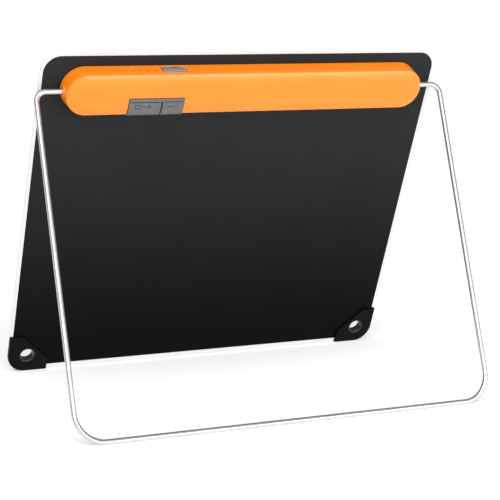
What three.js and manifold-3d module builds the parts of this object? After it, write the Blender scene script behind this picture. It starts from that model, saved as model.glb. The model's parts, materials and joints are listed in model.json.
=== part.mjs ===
// A portable solar panel seen as its real assembly: a thin leaning panel of twelve cells,
// an orange battery pod across its back, and a wire kickstand that turns on the pod's ends.
//
// Units are millimetres and +Z is up. The panel is drawn in its own upright frame, in which
//   x runs to the right as seen from behind,
//   y runs out of the sunny front face (the rear face of the back plate is y = 0),
//   z runs up the panel from the lower edge of the back plate.
// The panel frame is then leaned back, and the stand is opened until it reaches the ground.
import * as THREE from 'three';
import { mergeVertices } from 'three/addons/utils/BufferGeometryUtils.js';
import Module from 'manifold-3d';

const wasm = await Module();
wasm.setup();

// ---------------------------------------------------------------- driving dimensions

const LEAN = THREE.MathUtils.degToRad(19.2);   // panel from the vertical
const GAP = 0.3;                               // clearance between touching pieces
const PAST = 20;                               // how far a cutter runs past what it cuts
const OVERLAP = 0.5;                           // how far solids that are joined reach into each other

// panel layers, from the rear plate to the clear front sheet
const PLATE = { halfWidth: 122, height: 205, corner: 10, thick: 0.5 };
const RIM = { side: 2.2, top: 1.1, bottom: 2.7 };   // white frame beyond the back plate
const FRAME_CORNER = 11.6;
const LAYER_GAP = 0.2;
const CELL_THICK = 0.2;
const SHEET = { thick: 0.4, inset: 0.8 };
const CELLS = { columns: 2, rows: 6, halfWidth: 118, low: 5, high: 200, gap: 1.2, cut: 20 };
const CELL_WINDOW = 0.5;                       // from the outer cells to the frame's lip

// rubber bumpers on the two lower corners, each with an eyelet
const BUMPER = { side: 123.9, bottom: -2.9, size: 24.6, shelf: 8.2, corner: 11, wall: 1.2 };
const BUMPER_DEPTH = { rear: 1.3, edge: 0.6, front: 3.6, chamferDepth: 2.2, chamferWidth: 1.5 };
const BUMPER_SOFTEN = 1.6;                     // how far its slanted corners are cut back
const EYELET = { x: 112.3, z: 8.6, radius: 4.0, sleeve: 5.7, sides: 20 };

// battery pod: a stadium in plan, flat at the rear, with an edge rounded as a quarter ellipse
const POD = { z: 186.2, radius: 12.9, halfLength: 111.5, depth: 12.4, wall: 1.8 };
const POD_EDGE = { depth: 2.6, width: 7 };
const BOSS = { xs: [-87.5, -27, 87.5], dz: 7.2, radius: 2.6, pilot: 1.1, pilotDepth: 8 };
const SCREW = { length: 7, tip: 0.5, shank: 0.9, head: 2.1, headDepth: 0.35, sunk: 0.05 };
const SCREW_TAPER = { tip: 0.4, shank: 1 };    // where its tip and its shank begin, from the end
const SEAL = { inset: 2.1, width: 1.0 };

// wire stand
const WIRE = { radius: 1.5, halfWidth: 126.6, leg: 192.0, topBend: 6, footBend: 16.5, end: 92.3 };
const PIVOT_DEPTH = 4.7;                       // pivot axis behind the back plate
const RUNNING = 0.06;                          // radial clearance of the wire in its bush
const BUSH = { from: 98.6, to: 106.2, rear: -9.4, front: -1.6, halfHeight: 5.2 };
const CLIP = { x: 96.9, width: 2.4, thick: 0.8, clear: 0.2, footReach: 4.2, footHalf: 1.6 };
const CLIP_MOUTH = { half: 0.7, from: 0.4 };   // the slot that lets the clip spring open
const PIVOT_CLEAR = 0.4;                       // round the wire in the pod's end walls
const COLLAR = { x: 94.05, width: 2.2, radius: 2.9 };

// rubber port cover: a fixed strip, and two flaps that hang from it round the pod's edge
const COVER = { low: -74.6, split: -55.1, high: -41.8, top: 184.4, groove: 182.4, grooveWidth: 0.4 };
const COVER_SKIN = { proud: 0.8, sunk: 0.7, seat: 1.0, end: 3.0, cutTo: 3 };
const SLIT = 0.5;                              // between the two flaps
const ANCHOR = { radius: 0.6, length: 3, spread: 11, clear: 0.2 };
const PLUG = { inset: 0.9, front: 0.5, foot: 0.2, top: 0.9 };   // rubber plug behind a flap

// electronics on one small board
const BOARD = { x0: -80, x1: -36, z0: 176.2, z1: 195.2, y: -2, thick: 1.2 };
const SOLDER = 0.25;                           // between the board and what stands on it
const USB_OUT = { x: -65.2, halfWidth: 6.55, thick: 5.7, deep: 14, wall: 0.4 };
const USB_IN = { x: -48.6, halfWidth: 3.75, thick: 2.6, deep: 5.2, wall: 0.35 };
const PORT_MOUTH = 175.4;
const OUT_FIT = { clear: 0.35, rearClear: 0.35, plugClear: 1.2, bladeThick: 1.8, bladeLength: 11.5 };
const IN_FIT = { clear: 0.4, rearClear: 0.5, plugClear: 0.9, bladeThick: 0.6, bladeLength: 3.6 };
const TONGUE = { clear: 0.25, blockShare: 0.16, bladeShare: 0.9 };
const BUTTON = { x: -47.7, y: -5.1, halfLength: 7.3, halfDepth: 3.2, corner: 1.9, proud: 0.5 };
const FLANGE = { thick: 0.8, margin: 0.5 };    // keeps the button in the pod
const STEM = { halfWidth: 1.5, halfDepth: 1, low: 195.4 };
const SWITCH = { halfWidth: 3, deep: 3.4, low: 190.8, high: 194, knobHalf: 0.8, knobTop: 194.5 };
const LEDS = { xs: [-72.5, -68.1, -63.6, -59.1], y: -5.8, radius: 0.5, clear: 0.2 };
const LAMP = { halfWidth: 1, deep: 1.2, low: 193.7, high: 195.1 };
const GUIDE = { margin: 1.4, rear: -6.8, front: -3.7, low: 195.5, high: 196.6, pinDrop: 0.1 };
const CONTROLLER = { x: -76.1, z: 184.1, half: 2.5, deep: 0.9 };
const INDUCTOR = { x: -53.2, z: 186.2, half: 3, deep: 3 };
const CAPACITOR = { x: -41.4, z: 181.6, radius: 2, deep: 4.4 };
const BATTERY = { x0: -20, x1: 80, halfHeight: 9.3, y0: -1.5, y1: -10, round: 2.5 };
const PAD = { inset: 4, front: -GAP, rear: -1.2, halfHeight: 7 };
const LEAD = { radius: 0.6, bend: 1.8, spacing: 2, batterySpacing: 6.8, clear: 0.2, onBoard: 2 };
const BATTERY_LEAD = { drop: 2, rise: 0.4 };   // behind the board's face, and its two small steps
const LEAD_HOLE = { x: -32.5, radius: 2.3 };

// ---------------------------------------------------------------- worked-out dimensions

const frameHalfWidth = PLATE.halfWidth + RIM.side;
const frameTop = PLATE.height + RIM.top;
const cellY = PLATE.thick + LAYER_GAP;            // the frame's lip lies in the cells' layer
const cellFront = cellY + CELL_THICK;
const sheetY = cellFront + LAYER_GAP;
const sheetFront = sheetY + SHEET.thick;
const layerHole = EYELET.sleeve + GAP;            // clears the bumper's sleeve
const podTop = POD.z + POD.radius;
const podBottom = POD.z - POD.radius;
const boardFace = BOARD.y - BOARD.thick - SOLDER; // components stand on this side

// ---------------------------------------------------------------- materials

function material(color, roughness, metalness = 0, opacity = 1) {
  return new THREE.MeshStandardMaterial({
    color, roughness, metalness, opacity, transparent: opacity < 1,
  });
}

const MAT = {
  backPlate: () => material(0x1d1d1e, 0.42),
  whiteFrame: () => material(0xf0f0ee, 0.45),
  cell: () => material(0x0c1020, 0.25),
  clearSheet: () => material(0xdfe6ea, 0.2, 0, 0.3),
  bumper: () => material(0x19191a, 0.6),
  orange: () => material(0xff9020, 0.4),
  greyRubber: () => material(0x7c7c7d, 0.65),
  greyButton: () => material(0x7f8082, 0.5),
  wire: () => material(0xdcdcdc, 0.3, 1),
  steel: () => material(0xa8a8a8, 0.35, 1),
  nylon: () => material(0xdad8d0, 0.5),
  foam: () => material(0x2a2a2a, 0.9),
  foil: () => material(0xb9bcc0, 0.35, 0.8),
  board: () => material(0x0f5a34, 0.5),
  blackPart: () => material(0x151515, 0.5),
  lightGuide: () => material(0xe8e4da, 0.3, 0, 0.5),
  led: () => material(0xf2f0d8, 0.4),
  redLead: () => material(0xb01818, 0.5),
  blackLead: () => material(0x181818, 0.5),
};

// ---------------------------------------------------------------- solid modelling

function solid(geometry) {
  const bare = geometry.index ? geometry.toNonIndexed() : geometry.clone();
  bare.deleteAttribute('normal');
  bare.deleteAttribute('uv');
  const merged = mergeVertices(bare, 1e-4);
  return new wasm.Manifold(new wasm.Mesh({
    numProp: 3,
    vertProperties: new Float32Array(merged.attributes.position.array),
    triVerts: new Uint32Array(merged.index.array),
  }));
}

function geometryOf(body) {
  const mesh = body.getMesh();
  const geometry = new THREE.BufferGeometry();
  geometry.setAttribute('position', new THREE.BufferAttribute(mesh.vertProperties, 3));
  geometry.setIndex(new THREE.BufferAttribute(mesh.triVerts, 1));
  geometry.computeVertexNormals();
  return geometry;
}

// Joins and cuts: start from one geometry, add some, take others away.
function carve(base, { add = [], cut = [] }) {
  let body = solid(base);
  for (const piece of add) {
    body = body.add(solid(piece));
  }
  for (const piece of cut) {
    body = body.subtract(solid(piece));
  }
  return geometryOf(body);
}

// ---------------------------------------------------------------- shape helpers

function box(x0, x1, y0, y1, z0, z1) {
  const geometry = new THREE.BoxGeometry(x1 - x0, y1 - y0, z1 - z0);
  return geometry.translate((x0 + x1) / 2, (y0 + y1) / 2, (z0 + z1) / 2);
}

// A shape drawn in (x, z), made solid between two values of y.
function slab(shape, yRear, yFront, curveSegments = 6) {
  const depth = yFront - yRear;
  const geometry = new THREE.ExtrudeGeometry(shape, { depth, bevelEnabled: false, curveSegments });
  return geometry.rotateX(Math.PI / 2).translate(0, yFront, 0);
}

// The same with its edges eased front and rear, by edge.depth along y and edge.width across.
function softSlab(shape, yRear, yFront, edge, bevelSegments, curveSegments) {
  const geometry = new THREE.ExtrudeGeometry(shape, {
    depth: yFront - yRear - 2 * edge.depth,
    bevelEnabled: true,
    bevelThickness: edge.depth,
    bevelSize: edge.width,
    bevelOffset: -edge.width,
    bevelSegments,
    curveSegments,
  });
  return geometry.rotateX(Math.PI / 2).translate(0, yFront - edge.depth, 0);
}

function stadium(halfLength, radius, x = 0, z = 0) {
  const shape = new THREE.Shape();
  const reach = halfLength - radius;
  shape.absarc(x + reach, z, radius, -Math.PI / 2, Math.PI / 2);
  shape.absarc(x - reach, z, radius, Math.PI / 2, 1.5 * Math.PI);
  shape.closePath();
  return shape;
}

// A shape drawn in (y, z), made solid between two values of x.
function prism(shape, x0, x1, curveSegments) {
  const depth = x1 - x0;
  const geometry = new THREE.ExtrudeGeometry(shape, { depth, bevelEnabled: false, curveSegments });
  const turn = new THREE.Matrix4().makeBasis(
    new THREE.Vector3(0, 1, 0),
    new THREE.Vector3(0, 0, 1),
    new THREE.Vector3(1, 0, 0),
  );
  return geometry.applyMatrix4(turn).translate(x0, 0, 0);
}

// A round bar along x, y or z, given by its middle.
function bar(axis, radius, length, centre, sides = 16) {
  const geometry = new THREE.CylinderGeometry(radius, radius, length, sides);
  if (axis === 'x') {
    geometry.rotateZ(-Math.PI / 2);
  }
  if (axis === 'z') {
    geometry.rotateX(Math.PI / 2);
  }
  return geometry.translate(...centre);
}

// A path through given stations, with the direction at each halving the corner there.
class StationPath extends THREE.Curve {
  constructor(stations) {
    super();
    this.stations = stations;
  }

  getPoint(t) {
    const steps = this.stations.length - 1;
    return this.stations[Math.round(t * steps)].clone();
  }

  getPointAt(t) {
    return this.getPoint(t);
  }

  getTangentAt(t) {
    const last = this.stations.length - 1;
    const i = Math.round(t * last);
    const before = this.stations[Math.max(i - 1, 0)];
    const here = this.stations[i];
    const after = this.stations[Math.min(i + 1, last)];
    const inward = here.clone().sub(before).normalize();
    const outward = after.clone().sub(here).normalize();
    return inward.add(outward).normalize();
  }
}

function tube(stations, radius, sides) {
  const section = new THREE.Shape();
  section.absarc(0, 0, radius, 0, 2 * Math.PI);
  return new THREE.ExtrudeGeometry(section, {
    steps: stations.length - 1,
    curveSegments: sides,
    extrudePath: new StationPath(stations),
  });
}

// Stations round a quarter bend in the x-z plane.
function bend(centreX, centreZ, radius, fromAngle, toAngle, count) {
  const stations = [];
  for (let i = 0; i <= count; i += 1) {
    const angle = fromAngle + (toAngle - fromAngle) * (i / count);
    const x = centreX + radius * Math.cos(angle);
    const z = centreZ + radius * Math.sin(angle);
    stations.push(new THREE.Vector3(x, 0, z));
  }
  return stations;
}

// ---------------------------------------------------------------- panel layers

const panel = new THREE.Group();

function addTo(group, name, geometry, surface) {
  const mesh = new THREE.Mesh(geometry, surface());
  mesh.name = name;
  group.add(mesh);
}

function backPlateOutline(grow) {
  const corner = PLATE.corner + grow;
  const reach = PLATE.halfWidth - PLATE.corner;
  const high = PLATE.height - PLATE.corner;
  const shape = new THREE.Shape();
  shape.absarc(reach, PLATE.corner, corner, -Math.PI / 2, 0);
  shape.absarc(reach, high, corner, 0, Math.PI / 2);
  shape.absarc(-reach, high, corner, Math.PI / 2, Math.PI);
  shape.absarc(-reach, PLATE.corner, corner, Math.PI, 1.5 * Math.PI);
  shape.closePath();
  return shape;
}

// The frame's outline steps in at the two lower corners, where the bumpers wrap it.
function frameOutline(inset) {
  const right = frameHalfWidth - inset;
  const top = frameTop - inset;
  const bottom = -RIM.bottom + inset;
  const stepX = BUMPER.side - BUMPER.size - GAP - inset;
  const stepZ = BUMPER.bottom + BUMPER.size + GAP + inset;
  const innerRight = BUMPER.side - BUMPER.wall - GAP - inset;
  const innerBottom = BUMPER.bottom + BUMPER.wall + GAP + inset;
  const corner = BUMPER.corner - BUMPER.wall - inset;
  const upper = FRAME_CORNER - inset;
  const shape = new THREE.Shape();
  shape.moveTo(-stepX, bottom);
  shape.lineTo(stepX, bottom);
  shape.lineTo(stepX, innerBottom);
  shape.absarc(innerRight - corner, innerBottom + corner, corner, -Math.PI / 2, 0);
  shape.lineTo(innerRight, stepZ);
  shape.lineTo(right, stepZ);
  shape.absarc(right - upper, top - upper, upper, 0, Math.PI / 2);
  shape.absarc(upper - right, top - upper, upper, Math.PI / 2, Math.PI);
  shape.lineTo(-right, stepZ);
  shape.lineTo(-innerRight, stepZ);
  shape.absarc(corner - innerRight, innerBottom + corner, corner, Math.PI, 1.5 * Math.PI);
  shape.lineTo(-stepX, innerBottom);
  shape.closePath();
  return shape;
}

// The opening in the frame that the cells lie in, with its two lower corners cut off.
function cellWindowOutline() {
  const side = CELLS.halfWidth + CELL_WINDOW;
  const low = CELLS.low - CELL_WINDOW;
  const high = CELLS.high + CELL_WINDOW;
  const cut = CELLS.cut;
  const corners = [
    [cut - side, low], [side - cut, low], [side, low + cut],
    [side, high], [-side, high], [-side, low + cut],
  ];
  return new THREE.Shape(corners.map(([x, z]) => new THREE.Vector2(x, z)));
}

function eyeletBar(side, radius) {
  return bar('y', radius, 2 * PAST, [side * EYELET.x, 0, EYELET.z], EYELET.sides);
}

function eyeletHoles(radius) {
  return [-1, 1].map((side) => eyeletBar(side, radius));
}

function screwCentres() {
  const centres = [];
  for (const x of BOSS.xs) {
    centres.push([x, POD.z - BOSS.dz], [x, POD.z + BOSS.dz]);
  }
  return centres;
}

function makeBackPlate() {
  const cuts = eyeletHoles(layerHole);
  for (const [x, z] of screwCentres()) {
    const through = PLATE.thick + 2 * SCREW.sunk;
    const sink = new THREE.CylinderGeometry(SCREW.head + GAP, SCREW.shank + GAP, through, 14);
    cuts.push(sink.translate(x, PLATE.thick / 2, z));
  }
  cuts.push(bar('y', LEAD_HOLE.radius, PAST, [LEAD_HOLE.x, 0, POD.z], 14));
  return carve(slab(backPlateOutline(0), 0, PLATE.thick), { cut: cuts });
}

addTo(panel, 'back_plate', makeBackPlate(), MAT.backPlate);

// A ring round the back plate, with a thin lip that reaches over the plate's front as far
// as the cells. At the bumpers only the lip goes on.
function makeFrame() {
  const cuts = eyeletHoles(layerHole);
  cuts.push(slab(backPlateOutline(GAP), -PAST, cellY));
  cuts.push(slab(cellWindowOutline(), -PAST, PAST));
  const stepX = BUMPER.side - BUMPER.size - GAP;
  const stepZ = BUMPER.bottom + BUMPER.size + GAP;
  for (const side of [-1, 1]) {
    const xs = [side * stepX, side * (frameHalfWidth + PAST)].sort((p, q) => p - q);
    cuts.push(box(xs[0], xs[1], -PAST, cellY, BUMPER.bottom - PAST, stepZ));
  }
  return carve(slab(frameOutline(0), 0, cellFront), { cut: cuts });
}

addTo(panel, 'panel_frame', makeFrame(), MAT.whiteFrame);

const sheetBody = slab(frameOutline(SHEET.inset), sheetY, sheetFront);
addTo(panel, 'front_sheet', carve(sheetBody, { cut: eyeletHoles(layerHole) }), MAT.clearSheet);

// One cell: a thin rectangle, with its outer lower corner cut off on the lowest row.
function cellOutline(x0, x1, z0, z1, cutSide) {
  const cutLow = cutSide < 0 ? CELLS.cut : 0;
  const cutHigh = cutSide > 0 ? CELLS.cut : 0;
  const shape = new THREE.Shape();
  shape.moveTo(x0 + cutLow, z0);
  shape.lineTo(x1 - cutHigh, z0);
  if (cutHigh > 0) {
    shape.lineTo(x1, z0 + cutHigh);
  }
  shape.lineTo(x1, z1);
  shape.lineTo(x0, z1);
  if (cutLow > 0) {
    shape.lineTo(x0, z0 + cutLow);
  }
  shape.closePath();
  return shape;
}

const cellWidth = (2 * CELLS.halfWidth + CELLS.gap) / CELLS.columns - CELLS.gap;
const cellHeight = (CELLS.high - CELLS.low + CELLS.gap) / CELLS.rows - CELLS.gap;
for (let row = 0; row < CELLS.rows; row += 1) {
  for (let column = 0; column < CELLS.columns; column += 1) {
    const x0 = -CELLS.halfWidth + column * (cellWidth + CELLS.gap);
    const z0 = CELLS.low + row * (cellHeight + CELLS.gap);
    const cutSide = row === 0 ? 2 * column - 1 : 0;
    const outline = cellOutline(x0, x0 + cellWidth, z0, z0 + cellHeight, cutSide);
    const name = `solar_cell_${row * CELLS.columns + column + 1}`;
    addTo(panel, name, slab(outline, cellY, cellY + CELL_THICK), MAT.cell);
  }
}

// ---------------------------------------------------------------- corner bumpers

// The right-hand bumper's outline: a square with a round outer corner and its inner
// corner cut off on the slant. The left-hand one is its mirror image.
function bumperOutline(side) {
  const outer = BUMPER.side;
  const inner = outer - BUMPER.size;
  const bottom = BUMPER.bottom;
  const top = bottom + BUMPER.size;
  const shelfX = outer - BUMPER.shelf;
  const shelfZ = bottom + BUMPER.shelf;
  const soften = BUMPER_SOFTEN;
  const points = [[inner, bottom]];
  const steps = 7;
  for (let i = 0; i <= steps; i += 1) {
    const angle = -Math.PI / 2 + (Math.PI / 2) * (i / steps);
    const x = outer - BUMPER.corner + BUMPER.corner * Math.cos(angle);
    const z = bottom + BUMPER.corner + BUMPER.corner * Math.sin(angle);
    points.push([x, z]);
  }
  points.push([outer, top]);
  points.push([shelfX + soften, top], [shelfX - soften * Math.SQRT1_2, top - soften * Math.SQRT1_2]);
  points.push([inner + soften * Math.SQRT1_2, shelfZ + soften * Math.SQRT1_2], [inner, shelfZ - soften]);
  const placed = points.map(([x, z]) => new THREE.Vector2(side * x, z));
  if (side < 0) {
    placed.reverse();
  }
  return new THREE.Shape(placed);
}

// Each bumper is a rear lip, an outer wall and a front lip round a pocket for the panel,
// with a sleeve through the pocket that carries the eyelet.
function makeBumper(side) {
  const { rear, edge, front, chamferDepth, chamferWidth } = BUMPER_DEPTH;
  const outline = bumperOutline(side);
  const easedRear = softSlab(outline, -rear, front + PAST, { depth: edge, width: edge }, 2, 1);
  const chamfer = { depth: chamferDepth, width: chamferWidth };
  const slantedFront = softSlab(outline, -rear - PAST, front, chamfer, 1, 1);
  const sleeve = eyeletBar(side, EYELET.sleeve);
  const bore = eyeletBar(side, EYELET.radius);
  // only the part of the layers' outline inside the outer wall makes the pocket
  const wallInside = side * (BUMPER.side - BUMPER.wall);
  const openSide = side * (BUMPER.side - BUMPER.size - PAST);
  const xs = [wallInside, openSide].sort((p, q) => p - q);
  const z0 = BUMPER.bottom + BUMPER.wall;
  const z1 = BUMPER.bottom + BUMPER.size + PAST;
  const layers = slab(frameOutline(-GAP), -GAP, sheetFront + GAP);
  const pocket = solid(layers).intersect(solid(box(xs[0], xs[1], -PAST, PAST, z0, z1)));
  const body = solid(easedRear).intersect(solid(slantedFront));
  return geometryOf(body.subtract(pocket.subtract(solid(sleeve))).subtract(solid(bore)));
}

addTo(panel, 'left_bumper', makeBumper(-1), MAT.bumper);
addTo(panel, 'right_bumper', makeBumper(1), MAT.bumper);

// ---------------------------------------------------------------- battery pod

// The pod's outer form shrunk by an inset: eased at the rear, cut flat at the front.
function podForm(inset, yFront) {
  const outline = stadium(POD.halfLength - inset, POD.radius - inset, 0, POD.z);
  const edge = { depth: POD_EDGE.depth - inset, width: POD_EDGE.width - inset };
  const rear = -POD.depth + inset;
  const full = softSlab(outline, rear, PAST, edge, 5, 14);
  const end = POD.halfLength + PAST;
  const keep = box(-end, end, rear - PAST, yFront, podBottom - PAST, podTop + PAST);
  return solid(full).intersect(solid(keep));
}

// The (y, z) line of the pod's skin at a distance out from it, from a height on the rear
// face, round the lower edge, to a depth on the lower side.
function skinLine(offset, zTop, endDepth) {
  const centreY = -POD.depth + POD_EDGE.depth;
  const centreZ = podBottom + POD_EDGE.width;
  const line = [new THREE.Vector2(-POD.depth - offset, zTop)];
  const steps = 6;
  for (let i = 0; i <= steps; i += 1) {
    const angle = Math.PI + (Math.PI / 2) * (i / steps);
    const y = centreY + (POD_EDGE.depth + offset) * Math.cos(angle);
    const z = centreZ + (POD_EDGE.width + offset) * Math.sin(angle);
    line.push(new THREE.Vector2(y, z));
  }
  line.push(new THREE.Vector2(-endDepth, podBottom - offset));
  return line;
}

// A strip that follows the pod's skin between two offsets, made solid between two x.
function skinStrip(x0, x1, outerOffset, innerOffset, zTop, endDepth) {
  const outer = skinLine(outerOffset, zTop, endDepth);
  const inner = skinLine(innerOffset, zTop, endDepth).reverse();
  const shape = new THREE.Shape([...outer, ...inner]);
  return prism(shape, x0, x1, 1);
}

// The button's outline is an oblong with round corners, drawn in by an inset.
function buttonForm(inset, z0, z1) {
  const corner = BUTTON.corner - inset;
  const reachX = BUTTON.halfLength - BUTTON.corner;
  const reachY = BUTTON.halfDepth - BUTTON.corner;
  const shape = new THREE.Shape();
  [[1, -1], [1, 1], [-1, 1], [-1, -1]].forEach(([alongX, alongY], i) => {
    const start = (Math.PI / 2) * (i - 1);
    const x = BUTTON.x + alongX * reachX;
    const y = BUTTON.y + alongY * reachY;
    shape.absarc(x, y, corner, start, start + Math.PI / 2);
  });
  shape.closePath();
  const depth = z1 - z0;
  const geometry = new THREE.ExtrudeGeometry(shape, { depth, bevelEnabled: false, curveSegments: 4 });
  return geometry.translate(0, 0, z0);
}

function portWindow(port, fit) {
  const y0 = boardFace - port.thick - fit.rearClear;
  const y1 = boardFace + fit.clear;
  const half = port.halfWidth + fit.clear;
  return box(port.x - half, port.x + half, y0, y1, podBottom - PAST, PORT_MOUTH + OVERLAP);
}

// Posts for the screws: from the pod's rear wall nearly to the back plate.
function bossPost(x, z, radius, rear, front, sides) {
  return bar('y', radius, front - rear, [x, (front + rear) / 2, z], sides);
}

// Two pins hold the fixed strip of the port cover in the pod's rear face.
function anchorPins(clear) {
  const z = (COVER.top + COVER.groove) / 2;
  const middle = (COVER.low + COVER.high) / 2;
  const y = -POD.depth + ANCHOR.length / 2;
  return [-1, 1].map((side) => {
    const centre = [middle + side * ANCHOR.spread, y, z];
    return bar('y', ANCHOR.radius + clear, ANCHOR.length, centre, 10);
  });
}

function makePodCover() {
  let body = podForm(0, -GAP).subtract(podForm(POD.wall, PAST));
  for (const [x, z] of screwCentres()) {
    const post = bossPost(x, z, BOSS.radius, POD.wall / 2 - POD.depth, -2 * GAP, 14);
    const pilot = bossPost(x, z, BOSS.pilot, -BOSS.pilotDepth, PAST, 10);
    body = body.add(solid(post)).subtract(solid(pilot));
  }
  const { low, high, top } = COVER;
  const { seat, end, cutTo } = COVER_SKIN;
  const throughWall = 4 * POD.wall;
  const cuts = [
    skinStrip(low - GAP, high + GAP, cutTo, -seat, top + GAP, end - GAP),
    portWindow(USB_OUT, OUT_FIT),
    portWindow(USB_IN, IN_FIT),
    buttonForm(0, podTop - POD.wall - OVERLAP, podTop + PAST),
    ...anchorPins(ANCHOR.clear),
  ];
  for (const side of [-1, 1]) {
    const mouth = [side * POD.halfLength, -PIVOT_DEPTH, POD.z];
    cuts.push(bar('x', WIRE.radius + PIVOT_CLEAR, throughWall, mouth, 14));
  }
  for (const x of LEDS.xs) {
    cuts.push(bar('z', LEDS.radius + LEDS.clear, throughWall, [x, LEDS.y, podTop], 10));
  }
  for (const piece of cuts) {
    body = body.subtract(solid(piece));
  }
  return geometryOf(body);
}

addTo(panel, 'pod_cover', makePodCover(), MAT.orange);

function sealSlab(inset, yRear, yFront) {
  return slab(stadium(POD.halfLength - inset, POD.radius - inset, 0, POD.z), yRear, yFront, 14);
}

function makePodSeal() {
  const inner = sealSlab(SEAL.inset + SEAL.width, -PAST, PAST);
  return carve(sealSlab(SEAL.inset, -4 * GAP, -GAP), { cut: [inner] });
}

addTo(panel, 'pod_seal', makePodSeal(), MAT.foam);

// Countersunk screws from inside the panel, through the back plate, into the pod's bosses.
function makeScrew(x, z) {
  const { length, tip, shank, head, headDepth, sunk } = SCREW;
  const top = PLATE.thick - sunk;
  const profile = [
    [0, -length],
    [tip, SCREW_TAPER.tip - length],
    [shank, SCREW_TAPER.shank - length],
    [shank, top - headDepth],
    [head, top],
    [0, top],
  ];
  const points = profile.map(([r, y]) => new THREE.Vector2(r, y));
  return new THREE.LatheGeometry(points, 12).translate(x, 0, z);
}

screwCentres().forEach(([x, z], i) => {
  addTo(panel, `pod_screw_${i + 1}`, makeScrew(x, z), MAT.steel);
});

// ---------------------------------------------------------------- port cover

function makeCoverStrip() {
  const z0 = COVER.groove + COVER.grooveWidth / 2;
  const y0 = -POD.depth - COVER_SKIN.proud;
  const y1 = -POD.depth + COVER_SKIN.sunk;
  const strip = box(COVER.low, COVER.high, y0, y1, z0, COVER.top);
  return carve(strip, { add: anchorPins(0) });
}

function makeFlap(x0, x1, port, fit) {
  const zTop = COVER.groove - COVER.grooveWidth / 2;
  const { proud, sunk, end } = COVER_SKIN;
  const flap = skinStrip(x0, x1, proud, -sunk, zTop, end);
  const half = port.halfWidth - PLUG.inset;
  const y0 = boardFace - port.thick + fit.plugClear;
  const y1 = boardFace - PLUG.front;
  const z0 = podBottom - PLUG.foot;
  const plug = box(port.x - half, port.x + half, y0, y1, z0, podBottom + sunk + PLUG.top);
  return carve(flap, { add: [plug] });
}

addTo(panel, 'port_cover_strip', makeCoverStrip(), MAT.greyRubber);
const usbOutFlap = makeFlap(COVER.low, COVER.split - SLIT / 2, USB_OUT, OUT_FIT);
addTo(panel, 'usb_out_flap', usbOutFlap, MAT.greyRubber);
const usbInFlap = makeFlap(COVER.split + SLIT / 2, COVER.high, USB_IN, IN_FIT);
addTo(panel, 'usb_in_flap', usbInFlap, MAT.greyRubber);

// ---------------------------------------------------------------- button and electronics

// A square post round a button's centre line.
function upright(centre, halfWidth, halfDepth, z0, z1) {
  const { x, y } = centre;
  return box(x - halfWidth, x + halfWidth, y - halfDepth, y + halfDepth, z0, z1);
}

function makeButton() {
  const wallInside = podTop - POD.wall;
  const flangeTop = wallInside - GAP;
  const cap = buttonForm(GAP, flangeTop - OVERLAP, podTop + BUTTON.proud);
  const flange = buttonForm(-FLANGE.margin, flangeTop - FLANGE.thick, flangeTop);
  const stemTop = flangeTop - FLANGE.thick + OVERLAP;
  const stem = upright(BUTTON, STEM.halfWidth, STEM.halfDepth, STEM.low, stemTop);
  return carve(cap, { add: [flange, stem] });
}

addTo(panel, 'power_button', makeButton(), MAT.greyButton);

const boardRear = BOARD.y - BOARD.thick;
const board = box(BOARD.x0, BOARD.x1, boardRear, BOARD.y, BOARD.z0, BOARD.z1);
addTo(panel, 'circuit_board', board, MAT.board);

// A socket shell: a thin metal box, open at its lower end.
function makeShell(port) {
  const y0 = boardFace - port.thick;
  const z1 = PORT_MOUTH + port.deep;
  const half = port.halfWidth;
  const w = port.wall;
  const outside = box(port.x - half, port.x + half, y0, boardFace, PORT_MOUTH, z1);
  const inX = [port.x - half + w, port.x + half - w];
  const inside = box(inX[0], inX[1], y0 + w, boardFace - w, PORT_MOUTH - PAST, z1 - w);
  return carve(outside, { cut: [inside] });
}

// The insulator inside a socket: a block at the back with a blade that carries the contacts.
function makeTongue(port, { bladeThick, bladeLength }) {
  const clear = port.wall + TONGUE.clear;
  const half = port.halfWidth - clear;
  const y0 = boardFace - port.thick + clear;
  const y1 = boardFace - clear;
  const z1 = PORT_MOUTH + port.deep - clear;
  const blockLow = z1 - port.deep * TONGUE.blockShare;
  const block = box(port.x - half, port.x + half, y0, y1, blockLow, z1);
  const bladeX = [port.x - half * TONGUE.bladeShare, port.x + half * TONGUE.bladeShare];
  const bladeTop = blockLow + OVERLAP;
  const blade = box(bladeX[0], bladeX[1], y0, y0 + bladeThick, z1 - bladeLength, bladeTop);
  return carve(block, { add: [blade] });
}

addTo(panel, 'usb_out_shell', makeShell(USB_OUT), MAT.steel);
addTo(panel, 'usb_out_tongue', makeTongue(USB_OUT, OUT_FIT), MAT.blackPart);
addTo(panel, 'usb_in_shell', makeShell(USB_IN), MAT.steel);
addTo(panel, 'usb_in_tongue', makeTongue(USB_IN, IN_FIT), MAT.blackPart);

const switchFace = boardFace - SWITCH.deep;
const switchX = [BUTTON.x - SWITCH.halfWidth, BUTTON.x + SWITCH.halfWidth];
const switchBody = box(switchX[0], switchX[1], switchFace, boardFace, SWITCH.low, SWITCH.high);
const knobLow = SWITCH.high - OVERLAP;
const switchKnob = upright(BUTTON, SWITCH.knobHalf, SWITCH.knobHalf, knobLow, SWITCH.knobTop);
addTo(panel, 'button_switch', carve(switchBody, { add: [switchKnob] }), MAT.blackPart);

LEDS.xs.forEach((x, i) => {
  const face = boardFace - LAMP.deep;
  const led = box(x - LAMP.halfWidth, x + LAMP.halfWidth, face, boardFace, LAMP.low, LAMP.high);
  addTo(panel, `charge_led_${i + 1}`, led, MAT.led);
});

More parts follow.
